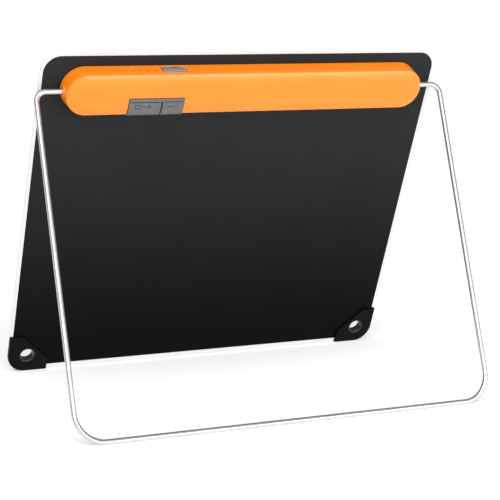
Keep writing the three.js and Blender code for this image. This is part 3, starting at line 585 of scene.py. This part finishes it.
bumper_x = bumper_high.x
bumper_z = bumper_low.z
layer_hole = EYELET_SLEEVE + CLEAR
POCKET_EASE = 0.08         # round the back plate, inside the frame
CELL_ROWS, CELL_COLUMNS = 6, 2
CELL_CUT = 20.0            # outer lower corners of the lowest row
CELL_THICK, LAYER_GAP, WINDOW_CLEAR = 0.2, 0.2, 0.5
CELL_CHAMFER = 1.6         # the other corners
FINGER_PITCH = 1.6
RIBBON_WIDTH, RIBBON_PROUD = 1.3, 0.08
RIBBON_SHARES = (0.27, 0.73)   # of a cell's height


def through(name, radius, x, z, low=-30.0, high=30.0):
    """A round cutter along y."""
    return block(name, disc(radius, x, z), [(low, 0), (high, 0)])


def eyelet_cutters(radius):
    return [through("eyelet", radius, side * EYELET_X, EYELET_Z) for side in (-1, 1)]


def layer_corners(inset):
    """The frame's outline: it steps in at the lower corners, where the bumpers wrap it."""
    right = rim_high.x - inset
    top = rim_high.z - inset
    bottom = rim_low.z + inset
    step_x = bumper_x - BUMPER_SIZE - CLEAR - inset
    step_z = bumper_z + BUMPER_SIZE + CLEAR + inset
    inner_x = bumper_x - BUMPER_WALL - CLEAR - inset
    inner_z = bumper_z + BUMPER_WALL + CLEAR + inset
    half = [
        (step_x, bottom, 0),
        (step_x, inner_z, 0),
        (inner_x, inner_z, BUMPER_CORNER - BUMPER_WALL - inset),
        (inner_x, step_z, 0),
        (right, step_z, 0),
        (right, top, RIM_CORNER - inset),
    ]
    return half + [(-x, z, radius) for x, z, radius in reversed(half)]


def plate_corners(grow=0.0):
    return rectangle(plate_low.x - grow, plate_high.x + grow, plate_low.z - grow, plate_high.z + grow,
                     PLATE_CORNER + grow)


def make_back_plate():
    profile = edge_profile(plate_low.y, plate_high.y, PLATE_EDGE, PLATE_EDGE, steps=3)
    plate = block("back_plate_fine", plate_corners(), profile)
    cut(plate, *eyelet_cutters(layer_hole))
    settle(plate, "panel", "black_plate", ["back_plate"])


def window_corners():
    """The frame's opening for the cells, with its two lower corners cut off."""
    cells_low, _ = box_in("solar_cell_1", TO_PANEL)
    _, cells_high = box_in("solar_cell_12", TO_PANEL)
    side = cells_high.x + WINDOW_CLEAR
    low = cells_low.z - WINDOW_CLEAR
    high = cells_high.z + WINDOW_CLEAR
    return [
        (CELL_CUT - side, low, 0), (side - CELL_CUT, low, 0), (side, low + CELL_CUT, 0),
        (side, high, 0), (-side, high, 0), (-side, low + CELL_CUT, 0),
    ]


def make_panel_frame():
    """A ring round the back plate, with a thin lip that reaches over it as far as the cells."""
    profile = edge_profile(rim_low.y, rim_high.y, RIM_EDGE, RIM_EDGE, steps=4)
    rim = block("panel_frame_fine", layer_corners(0), profile)
    lip_y = sheet_low.y - 2 * LAYER_GAP - CELL_THICK
    pocket = block("pocket", plate_corners(POCKET_EASE), [(-FRAME_PAST, 0), (lip_y, 0)])
    window = block("window", window_corners(), [(-PAST, 0), (PAST, 0)])
    cut(rim, pocket, window, *eyelet_cutters(layer_hole))
    step_x = bumper_x - BUMPER_SIZE - CLEAR
    step_z = bumper_z + BUMPER_SIZE + CLEAR
    for side in (-1, 1):
        xs = sorted((side * step_x, side * (bumper_x + FRAME_PAST)))
        corner = rectangle(*xs, bumper_z - FRAME_PAST, step_z, 0)
        cut(rim, block("corner", corner, [(-FRAME_PAST, 0), (lip_y, 0)]))
    settle(rim, "panel", "white_frame", ["panel_frame"])


def make_front_sheet():
    profile = edge_profile(sheet_low.y, sheet_high.y, 0.0, SHEET_EDGE, steps=3)
    sheet = block("front_sheet_fine", layer_corners(SHEET_INSET), profile)
    cut(sheet, *eyelet_cutters(layer_hole))
    settle(sheet, "panel", "clear_sheet", ["front_sheet"])


def cell_corners(low, high, cut_side):
    """A cell with clipped corners; one lower corner is cut back much further on the lowest row."""
    cuts = {"left": CELL_CUT if cut_side < 0 else CELL_CHAMFER,
            "right": CELL_CUT if cut_side > 0 else CELL_CHAMFER}
    small = CELL_CHAMFER
    return [
        (low.x + cuts["left"], low.z, 0), (high.x - cuts["right"], low.z, 0),
        (high.x, low.z + cuts["right"], 0), (high.x, high.z - small, 0),
        (high.x - small, high.z, 0), (low.x + small, high.z, 0),
        (low.x, high.z - small, 0), (low.x, low.z + cuts["left"], 0),
    ]


def map_cell(piece):
    """Writes a map in which one unit across is one finger."""
    layer = piece.data.uv_layers.new(name="cell")
    for loop in piece.data.loops:
        point = piece.data.vertices[loop.vertex_index].co
        layer.data[loop.index].uv = (point.x / FINGER_PITCH, point.z / FINGER_PITCH)


def make_cell(number, cut_side):
    name = f"solar_cell_{number}"
    low, high = box_in(name, TO_PANEL)
    profile = [(low.y, 0), (high.y - 0.04, 0), (high.y, 0.04)]
    cell = block(name + "_fine", cell_corners(low, high, cut_side), profile)
    map_cell(cell)
    settle(cell, "panel", "solar_cell", [name])
    # two solder ribbons run the length of the cell, just proud of it
    for k, share in enumerate(RIBBON_SHARES):
        z = low.z + (high.z - low.z) * share
        ends = [CELL_CHAMFER, CELL_CHAMFER]
        if cut_side and share < 0.5:
            ends[0 if cut_side < 0 else 1] += CELL_CUT - (z - low.z)
        half = RIBBON_WIDTH / 2
        strip = rectangle(low.x + ends[0], high.x - ends[1], z - half, z + half, 0.3)
        top = high.y + RIBBON_PROUD
        ribbon = block(f"cell_{number}_ribbon_{k + 1}", strip,
                       [(high.y, 0), (top - 0.03, 0), (top, 0.06)])
        settle(ribbon, "panel", "solar_cell", finish="ribbon_silver")


make_back_plate()
make_panel_frame()
make_front_sheet()
for cell_row in range(CELL_ROWS):
    for cell_column in range(CELL_COLUMNS):
        lowest = cell_row == 0
        make_cell(cell_row * CELL_COLUMNS + cell_column + 1, 2 * cell_column - 1 if lowest else 0)

# ------------------------------------------------------------------ corner bumpers


def bumper_corners(side):
    """A square with a round outer corner and its inner corner cut off on the slant."""
    inner = bumper_x - BUMPER_SIZE
    top = bumper_z + BUMPER_SIZE
    corners = [
        (inner, bumper_z, 0.5),
        (bumper_x, bumper_z, BUMPER_CORNER),
        (bumper_x, top, 0.5),
        (bumper_x - BUMPER_SHELF, top, 2.5),
        (inner, bumper_z + BUMPER_SHELF, 2.5),
    ]
    if side < 0:
        corners = [(-x, z, radius) for x, z, radius in reversed(corners)]
    return corners


def eyelet_tool(side):
    """The bore of an eyelet, flared with a round lip at both ends."""
    profile = []
    ends = ((bumper_low.y, EYELET_REAR_LIP, 1), (bumper_high.y, EYELET_FRONT_LIP, -1))
    for face, lip, inwards in ends:
        flare = [(face - inwards, -lip)]
        for k in range(7):
            angle = math.pi / 2 * k / 6
            sunk = inwards * lip * (1 - math.cos(angle))
            flare.append((face + sunk, -lip * (1 - math.sin(angle))))
        profile += flare[::inwards]
    bore = block("bore", disc(EYELET_RADIUS, side * EYELET_X, EYELET_Z), profile)
    # the bore's faces take the lighter rubber, painted light on the bore wall and lip
    paint(bore, "lit_bore_rubber")
    return bore


def bumper_profile():
    """Rounded at the rear; the front falls away in a long chamfer with softened ends."""
    start = bumper_high.y - BUMPER_CHAMFER_DEPTH - 0.4
    profile = edge_profile(bumper_low.y, start, BUMPER_REAR_EDGE)
    fall = ((0.0, 0.05), (0.12, 0.16), (0.5, 0.5), (0.88, 0.84), (0.97, 0.93), (1.0, 1.1))
    for along, across in fall:
        depth = bumper_high.y - BUMPER_CHAMFER_DEPTH * (1 - along)
        profile.append((depth, BUMPER_CHAMFER_WIDTH * across))
    return profile


def make_bumper(side, label):
    bumper = block(f"{label}_bumper_fine", bumper_corners(side), bumper_profile())
    # the pocket that the panel's layers sit in, with a sleeve left round the eyelet
    slot_x = sorted((side * (bumper_x - BUMPER_WALL), side * (bumper_x - BUMPER_SIZE - BUMPER_PAST)))
    pocket_corners = rectangle(*slot_x, bumper_z + BUMPER_WALL,
                               bumper_z + BUMPER_SIZE + BUMPER_PAST, 0)
    outer = 1 if side > 0 else 0
    u, v, _ = pocket_corners[outer]
    pocket_corners[outer] = (u, v, BUMPER_CORNER - BUMPER_WALL)
    pocket = block("pocket", pocket_corners, [(-POCKET_CLEAR, 0), (sheet_high.y + POCKET_CLEAR, 0)])
    cut(pocket, through("sleeve", EYELET_SLEEVE, side * EYELET_X, EYELET_Z))
    paint(bumper, "black_rubber")
    cut(bumper, pocket, eyelet_tool(side))
    settle(bumper, "panel", "black_rubber", [f"{label}_bumper"])


make_bumper(-1, "left")
make_bumper(1, "right")

# ------------------------------------------------------------------ battery pod


def draft_at(y):
    """How far the pod's sides have drawn in at a depth, from nothing at the panel."""
    return POD_DRAFT * (pod_front - y) / (pod_front - pod_rear)


def drafted(profile):
    return [(depth, inset + draft_at(depth)) for depth, inset in profile]


def pod_corners(inset=0.0):
    reach = pod_high.x - inset
    radius = pod_radius - inset
    return rectangle(-reach, reach, pod_z - radius, pod_z + radius, radius)


def skin_line(offset, top, end_depth):
    """(y, z) points on the skin of the frame's pod, drawn in with the draft and offset outwards."""
    centre = Vector((pod_rear + POD_EDGE_DEPTH, pod_low.z + POD_EDGE_WIDTH))
    steps = 14
    line = [Vector((pod_rear - offset, top))]
    for k in range(steps + 1):
        angle = math.pi + math.pi / 2 * k / steps
        deep = (POD_EDGE_DEPTH + offset) * math.cos(angle)
        low = (POD_EDGE_WIDTH + offset) * math.sin(angle)
        line.append(centre + Vector((deep, low + draft_at(centre.x + deep))))
    line.append(Vector((-end_depth, pod_low.z - offset + draft_at(-end_depth))))
    return line


def skin_strip(name, x0, x1, outer, inner, top, end_depth):
    """A strip that follows the pod's skin between two offsets."""
    section = skin_line(outer, top, end_depth) + skin_line(inner, top, end_depth)[::-1]
    rings = [[Vector((x, point.x, point.y)) for point in section] for x in (x0, x1)]
    return from_rings(name, rings)


BOARD_FACE = -3.45         # components stand on the rear side of this plane
PORTS = {                  # middle x, half width and thickness of a socket, and its clearances
    "usb_out": (-65.2, 6.55, 5.7, 0.35, 0.35),
    "usb_in": (-48.6, 3.75, 2.6, 0.4, 0.5),
}
BUTTON_X, BUTTON_Y = (button_low.x + button_high.x) / 2, (button_low.y + button_high.y) / 2
BUTTON_HALF, BUTTON_HALF_DEPTH, BUTTON_CORNER = 7.3, 3.2, 1.9
FLANGE_THICK, FLANGE_MARGIN = 0.8, 0.5
LED_Y, LED_RADIUS, LED_CLEAR = -5.8, 0.7, 0.15
DOT_CHAMFER, BUTTON_CHAMFER = 0.15, 0.3
PIN_RECESS = 0.35          # a dot's pin ends this far inside the skin
SCREW_RISE = 7.2
SCREW_XS = (-87.5, -27.0, 87.5)
BOSS_RADIUS, PILOT_RADIUS, PILOT_DEPTH = 2.6, 1.1, 8.0
ANCHOR_SPREAD, ANCHOR_HOLE, ANCHOR_PIN, ANCHOR_LENGTH = 11.0, 0.8, 0.6, 3.0
PIVOT_CLEAR = 0.4
WALL_CUT = 3.2             # a socket's window reaches this far up from the pod's lowest line


def button_corners(inset):
    half, deep = BUTTON_HALF - inset, BUTTON_HALF_DEPTH - inset
    return rectangle(BUTTON_X - half, BUTTON_X + half, BUTTON_Y - deep, BUTTON_Y + deep,
                     BUTTON_CORNER - inset)


def led_places():
    lows = [box_in(f"charge_led_{k}", TO_PANEL) for k in range(1, 5)]
    return [(low.x + high.x) / 2 for low, high in lows]


def anchor_places():
    """Where the port cover's two pins go through the pod's wall."""
    middle = (strip_low.x + strip_high.x) / 2
    return [(middle + side * ANCHOR_SPREAD, (COVER_TOP + COVER_GROOVE) / 2) for side in (-1, 1)]


def crowned_profile():
    """The rear face falls away evenly over its border and meets the sides in a soft crease."""
    profile = []
    steps = 18
    for k in range(steps):
        inset = POD_EDGE_WIDTH * (1 - k / steps)
        if inset > POD_CREASE:
            profile.append((pod_rear + POD_CROWN * (1 - inset / POD_EDGE_WIDTH) ** 2, inset))
    corner = pod_rear + POD_CROWN
    start_depth = pod_rear + POD_CROWN * (1 - POD_CREASE / POD_EDGE_WIDTH) ** 2
    for k in range(7):
        along = k / 6
        depth = (1 - along) ** 2 * start_depth + 2 * along * (1 - along) * corner
        depth += along ** 2 * (corner + POD_CREASE)
        profile.append((depth, (1 - along) ** 2 * POD_CREASE))
    return drafted(profile + edge_profile(pod_rear, pod_front, 0.0, 0.35)[1:])


def make_pod_cover():
    cover = block("pod_cover_fine", pod_corners(), crowned_profile())
    edge = (POD_EDGE_DEPTH - POD_WALL, POD_EDGE_WIDTH - POD_WALL)
    inside = drafted(edge_profile(pod_rear + POD_WALL, 2, edge, 0.0, steps=8))
    cut(cover, block("hollow", pod_corners(POD_WALL), inside))
    for side in (-1, 1):
        ends = ((pod_high.x - HUB_LENGTH, 0), (pod_high.x, HUB_TAPER))
        hub = [(side * x, taper) for x, taper in ends]
        join(cover, block("hub", disc(HUB_RADIUS, pivot.y, pivot.z), hub, axis="x"))
    for x in SCREW_XS:
        for z in (pod_z - SCREW_RISE, pod_z + SCREW_RISE):
            join(cover, through("boss", BOSS_RADIUS, x, z, pod_rear + POD_WALL - 0.5, -0.6))
            cut(cover, through("pilot", PILOT_RADIUS, x, z, -PILOT_DEPTH, 2))
    tools = [skin_strip("seat", strip_low.x - CLEAR, strip_high.x + CLEAR, PAST, -COVER_SEAT,
                        COVER_TOP + CLEAR, COVER_END - CLEAR)]
    for x, half, thick, clear, rear_clear in PORTS.values():
        window = rectangle(x - half - clear, x + half + clear,
                           BOARD_FACE - thick - rear_clear, BOARD_FACE + clear, 0.5)
        tools.append(block("window", window,
                           [(pod_low.z - PAST, 0), (pod_low.z + WALL_CUT, 0)], axis="z"))
    # the button's hole has a small chamfer at the skin
    skin = pod_high.z - draft_at(BUTTON_Y)
    rim = BUTTON_CHAMFER
    tools.append(block("button_hole", button_corners(0),
                       [(skin - PAST, 0), (skin - rim, 0), (skin + rim, -2 * rim)], axis="z"))
    for side in (-1, 1):
        x = side * pod_high.x
        pierce = disc(WIRE_RADIUS + PIVOT_CLEAR, pivot.y, pivot.z)
        tools.append(block("pivot_hole", pierce, [(x - 2 * PAST, 0), (x + 2 * PAST, 0)], axis="x"))
    skin = pod_high.z - draft_at(LED_Y)
    rim = DOT_CHAMFER
    for x in led_places():
        tools.append(block("dot", disc(LED_RADIUS + LED_CLEAR, x, LED_Y),
                           [(skin - PAST, 0), (skin - rim, 0), (skin + rim, -2 * rim)], axis="z"))
    for x, z in anchor_places():
        tools.append(through("anchor", ANCHOR_HOLE, x, z, pod_rear - 1, pod_rear + ANCHOR_LENGTH))
    cut(cover, *tools)
    settle(cover, "panel", "orange_plastic", ["pod_cover"])


make_pod_cover()

# ------------------------------------------------------------------ port cover

EAR = 1.6                  # uncut rubber at each end of a groove
EAR_GAP = 0.1
STRIP_EDGE = 0.3
WEB_HALF = 0.8             # of the web behind the slit, painted black as shade in the slit
PLUG_INSET, PLUG_FRONT, PLUG_FOOT, PLUG_TOP = 0.9, 0.5, 0.5, 0.9
SLIT_EASE = 0.12           # how much wider the flaps' slit is on each side than in the frame
MARK_WIDTH, MARK_DEPTH, MARK_PROUD = 0.42, 0.15, 0.03
STROKE_REACH = 4.0         # a stroke's cutter, to each side of the pod's rear face


def make_cover_strip():
    """The fixed strip, with ears that reach down to the flaps at the ends of the grooves."""
    low_z, high_z = strip_low.z, strip_high.z
    front = pod_rear + COVER_SUNK
    strip = block("port_cover_strip_fine", rectangle(strip_low.x, strip_high.x, low_z, high_z, 0.25),
                  edge_profile(strip_low.y, front, STRIP_EDGE, 0.0, steps=4))
    flap_top = out_high.z
    ears = [(strip_low.x, strip_low.x + EAR), (out_high.x - EAR, out_high.x),
            (in_low.x, in_low.x + EAR), (strip_high.x - EAR, strip_high.x)]
    for x0, x1 in ears:
        join(strip, block("ear", rectangle(x0, x1, flap_top + EAR_GAP, low_z + 0.5, 0.05),
                          edge_profile(strip_low.y, front, STRIP_EDGE, 0.0, steps=4)))
    # a thin web hangs from the strip behind the slit between the flaps; it is painted black rubber, as
    # shade in the slit
    slit = (out_high.x + in_low.x) / 2
    painted_shade_web = skin_strip("painted_shade_web", slit - WEB_HALF, slit + WEB_HALF, -COVER_SUNK - 0.05,
                     -COVER_SEAT + 0.05, low_z + 0.2, COVER_END)
    paint(strip, "grey_rubber")
    # painted shade: the web gets black rubber rather than the strip's grey, so that the slit looks
    # dark
    paint(painted_shade_web, "black_rubber")
    join(strip, painted_shade_web)
    for x, z in anchor_places():
        join(strip, through("pin", ANCHOR_PIN, x, z, pod_rear, pod_rear + ANCHOR_LENGTH))
    settle(strip, "panel", "grey_rubber", ["port_cover_strip"])


def stroke(start, end):
    """A round-ended bar from start to end, (x, z), that runs along y."""
    start, end = Vector(start), Vector(end)
    along = (end - start).normalized()
    across = Vector((-along.y, along.x)) * (MARK_WIDTH / 2)
    reach = along * (MARK_WIDTH / 2)
    corners = [start - reach - across, end + reach - across,
               end + reach + across, start - reach + across]
    radius = MARK_WIDTH / 2 - 0.005
    return block("stroke", [(c.x, c.y, radius) for c in corners],
                 [(pod_rear - STROKE_REACH, 0), (pod_rear + STROKE_REACH, 0)])


def merge(name, pieces):
    """One object of several separate shells."""
    work = bmesh.new()
    for piece in pieces:
        work.from_mesh(piece.data)
        bpy.data.objects.remove(piece)
    mesh = bpy.data.meshes.new(name)
    work.to_mesh(mesh)
    work.free()
    merged = bpy.data.objects.new(name, mesh)
    bpy.context.scene.collection.objects.link(merged)
    return merged


def print_marks(flap_name, strokes, x0, x1):
    """Ink strokes that lie on a flap's skin, a hair proud of it."""
    prints = []
    for bar in strokes:
        band = skin_strip("band", x0 - 1, x1 + 1, COVER_PROUD + MARK_PROUD, COVER_PROUD - MARK_DEPTH,
                          COVER_TOP, COVER_END)
        prints.append(combine(band, [bar], "INTERSECT"))
    marks = merge(flap_name + "_marks", prints)
    settle(marks, flap_name, "grey_rubber", finish="mark_ink")


def arc_strokes(centre, radius_x, radius_z, start, end, count):
    """Short strokes along part of an ellipse; angles in degrees."""
    points = []
    for k in range(count + 1):
        angle = math.radians(start + (end - start) * k / count)
        points.append((centre[0] + radius_x * math.cos(angle),
                       centre[1] + radius_z * math.sin(angle)))
    return [stroke(a, b) for a, b in zip(points, points[1:])]


def make_flap(name, low, high, port, plug_clear, marks):
    x, half, thick = PORTS[port][:3]
    x0 = low.x + (SLIT_EASE if low.x > strip_low.x + EAR else 0)
    x1 = high.x - (SLIT_EASE if high.x < strip_high.x - EAR else 0)
    flap = skin_strip(name + "_fine", x0, x1, COVER_PROUD, -COVER_SUNK, high.z, COVER_END)
    soften(flap, 0.3)
    plug = rectangle(x - half + PLUG_INSET, x + half - PLUG_INSET,
                     BOARD_FACE - thick + plug_clear, BOARD_FACE - PLUG_FRONT, 0.5)
    ends = [(pod_low.z + PLUG_FOOT, 0), (pod_low.z + COVER_SUNK + PLUG_TOP, 0.2)]
    join(flap, block("plug", plug, ends, axis="z"))
    settle(flap, name, "grey_rubber", [name])
    print_marks(name, marks, low.x, high.x)


def output_marks():
    """A battery outline with an arrow leaving it."""
    left, right, low, high = -71.0, -67.6, 178.6, 180.8
    middle = (low + high) / 2
    frame_bars = [((left, low), (right, low)), ((right, low), (right, high)),
                  ((right, high), (left, high)), ((left, high), (left, low))]
    arrow = [((-66.4, middle), (-61.6, middle)), ((-63.0, middle + 1.2), (-61.6, middle)),
             ((-63.0, middle - 1.2), (-61.6, middle))]
    return [stroke(a, b) for a, b in frame_bars + arrow]


def input_marks():
    """A low arch and a short upright."""
    arch = arc_strokes((-50.0, 178.6), 2.1, 1.2, 160, 20, 5)
    return arch + [stroke((-46.4, 178.4), (-46.4, 179.9))]


make_cover_strip()
make_flap("usb_out_flap", out_low, out_high, "usb_out", 1.2, output_marks())
make_flap("usb_in_flap", in_low, in_high, "usb_in", 0.9, input_marks())

# ------------------------------------------------------------------ button and light guide

BAR_COUNT, BAR_PITCH, BAR_HALF = 4, 1.25, 0.32
BAR_LENGTH, BAR_GROWTH = 0.7, 0.25
STEM_HALF, STEM_HALF_DEPTH = 1.5, 1.0
SPINE_HEIGHT = 1.1         # of the light guide's bar
CROWN = [(0.45, 0), (0.28, 0.05), (0.14, 0.18), (0.06, 0.42), (0.02, 0.9), (0, 1.5)]


def make_button():
    flange_top = pod_high.z - POD_WALL - CLEAR - draft_at(BUTTON_Y)
    top = button_high.z - draft_at(BUTTON_Y)
    crown = [(flange_top - 0.1, 0)] + [(top - fall, inset) for fall, inset in CROWN]
    button = block("power_button_fine", button_corners(CLEAR), crown, axis="z")
    join(button, block("flange", button_corners(-FLANGE_MARGIN),
                       [(flange_top - FLANGE_THICK, 0), (flange_top, 0)], axis="z"))
    stem = rectangle(BUTTON_X - STEM_HALF, BUTTON_X + STEM_HALF,
                     BUTTON_Y - STEM_HALF_DEPTH, BUTTON_Y + STEM_HALF_DEPTH, 0.2)
    join(button, block("stem", stem, [(button_low.z, 0), (flange_top - 0.5, 0)], axis="z"))
    paint(button, "grey_plastic")
    # short bars of growing length, engraved and inked
    for k in range(BAR_COUNT):
        x = BUTTON_X + BAR_PITCH * (k - (BAR_COUNT - 1) / 2)
        bar = rectangle(x - BAR_HALF, x + BAR_HALF,
                        BUTTON_Y + 0.7, BUTTON_Y + 0.7 + BAR_LENGTH + BAR_GROWTH * k, 0.25)
        tool = block("bar", bar, [(top - 0.25, 0), (top + 1, 0)], axis="z")
        paint(tool, "mark_ink")
        cut(button, tool)
    settle(button, "power_button", "grey_plastic", ["power_button"])


def make_light_guide():
    """A bar above the lamps, with a round-topped pin up into each dot."""
    low, high = box_in("light_guide", TO_PANEL)
    spine_top = low.z + SPINE_HEIGHT
    pin_top = high.z - draft_at(LED_Y) - PIN_RECESS
    guide = block("light_guide_fine", rectangle(low.x, high.x, low.y, high.y, 0.3),
                  edge_profile(low.z, spine_top, 0.15, 0.15, steps=2), axis="z")
    for x in led_places():
        pin = block("pin", disc(LED_RADIUS, x, LED_Y),
                    edge_profile(low.z + 0.3, pin_top, 0, 0.25, steps=4), axis="z")
        join(guide, pin)
    settle(guide, "panel", "light_guide_clear", ["light_guide"])


make_button()
make_light_guide()

# ------------------------------------------------------------------ wire stand


def stand_frame():
    """The stand's own frame: millimetres, hanging down from its pivot axis along its x axis."""
    low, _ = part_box("kickstand_wire")
    start = Vector(joints["kickstand_turn"]["pos_m"])
    foot = Vector((0, low.y + WIRE_RADIUS * MM, low.z + WIRE_RADIUS * MM))
    opening = math.atan2(start.y - foot.y, start.z - foot.z)
    return Matrix.Translation(start) @ Matrix.Rotation(-opening, 4, "X") @ Matrix.Scale(MM, 4)


def quarter(centre, radius, start, end, count):
    """(point, direction) pairs round part of a circle in the stand's plane, in degrees."""
    pairs = []
    for k in range(count + 1):
        angle = math.radians(start + (end - start) * k / count)
        point = Vector((centre[0] + radius * math.cos(angle), 0, centre[1] + radius * math.sin(angle)))
        pairs.append((point, Vector((math.sin(angle), 0, -math.cos(angle)))))
    return pairs


def make_wire():
    place = stand_frame()
    low, high = box_in("kickstand_wire", place.inverted())
    half = high.x - WIRE_RADIUS
    leg = -low.z - WIRE_RADIUS
    right = [(Vector((WIRE_END, 0, 0)), Vector((1, 0, 0)))]
    right += quarter((half - WIRE_TOP_BEND, -WIRE_TOP_BEND), WIRE_TOP_BEND, 90, 0, 14)
    right += quarter((half - WIRE_FOOT_BEND, WIRE_FOOT_BEND - leg), WIRE_FOOT_BEND, 0, -90, 24)
    left = [(Vector((-p.x, 0, p.z)), Vector((d.x, 0, -d.z))) for p, d in reversed(right)]
    rings = []
    for point, direction in right + left:
        across = direction.cross(Vector((0, 1, 0))).normalized()
        ring = []
        for k in range(WIRE_SIDES):
            angle = 2 * math.pi * k / WIRE_SIDES
            spoke = across * math.cos(angle) + Vector((0, 1, 0)) * math.sin(angle)
            ring.append(point + spoke * WIRE_RADIUS)
        rings.append(ring)
    wire = from_rings("kickstand_wire_fine", rings)
    soften(wire, 0.3, angle=60)
    settle(wire, "stand", "stand_wire", ["kickstand_wire"], place=place, sharp=45)


make_wire()

# ------------------------------------------------------------------ carried-over nodes

CARRIED = {
    "pod_seal": "foam",
    "circuit_board": "board_green",
    "usb_out_shell": "plated_steel",
    "usb_in_shell": "plated_steel",
    "usb_out_tongue": "black_insulator",
    "usb_in_tongue": "black_insulator",
    "button_switch": "black_insulator",
    "charge_controller": "black_insulator",
    "boost_inductor": "black_insulator",
    "output_capacitor": "plated_steel",
    "battery_pack": "battery_foil",
    "battery_pad": "foam",
    "panel_lead_positive": "red_lead",
    "panel_lead_negative": "black_lead",
    "battery_lead_positive": "red_lead",
    "battery_lead_negative": "black_lead",
}
CARRIED.update({f"pod_screw_{k}": "screw_steel" for k in range(1, 7)})
CARRIED.update({f"charge_led_{k}": "led_lens" for k in range(1, 5)})
for hand in ("left", "right"):
    CARRIED[f"{hand}_pivot_bush"] = "natural_nylon"
    CARRIED[f"{hand}_friction_clip"] = "screw_steel"
    CARRIED[f"{hand}_stand_collar"] = "screw_steel"

for node_name, finish in CARRIED.items():
    kept = frame["nodes"][node_name]
    kept.data.materials.clear()
    kept.data.materials.append(MATERIALS[finish])
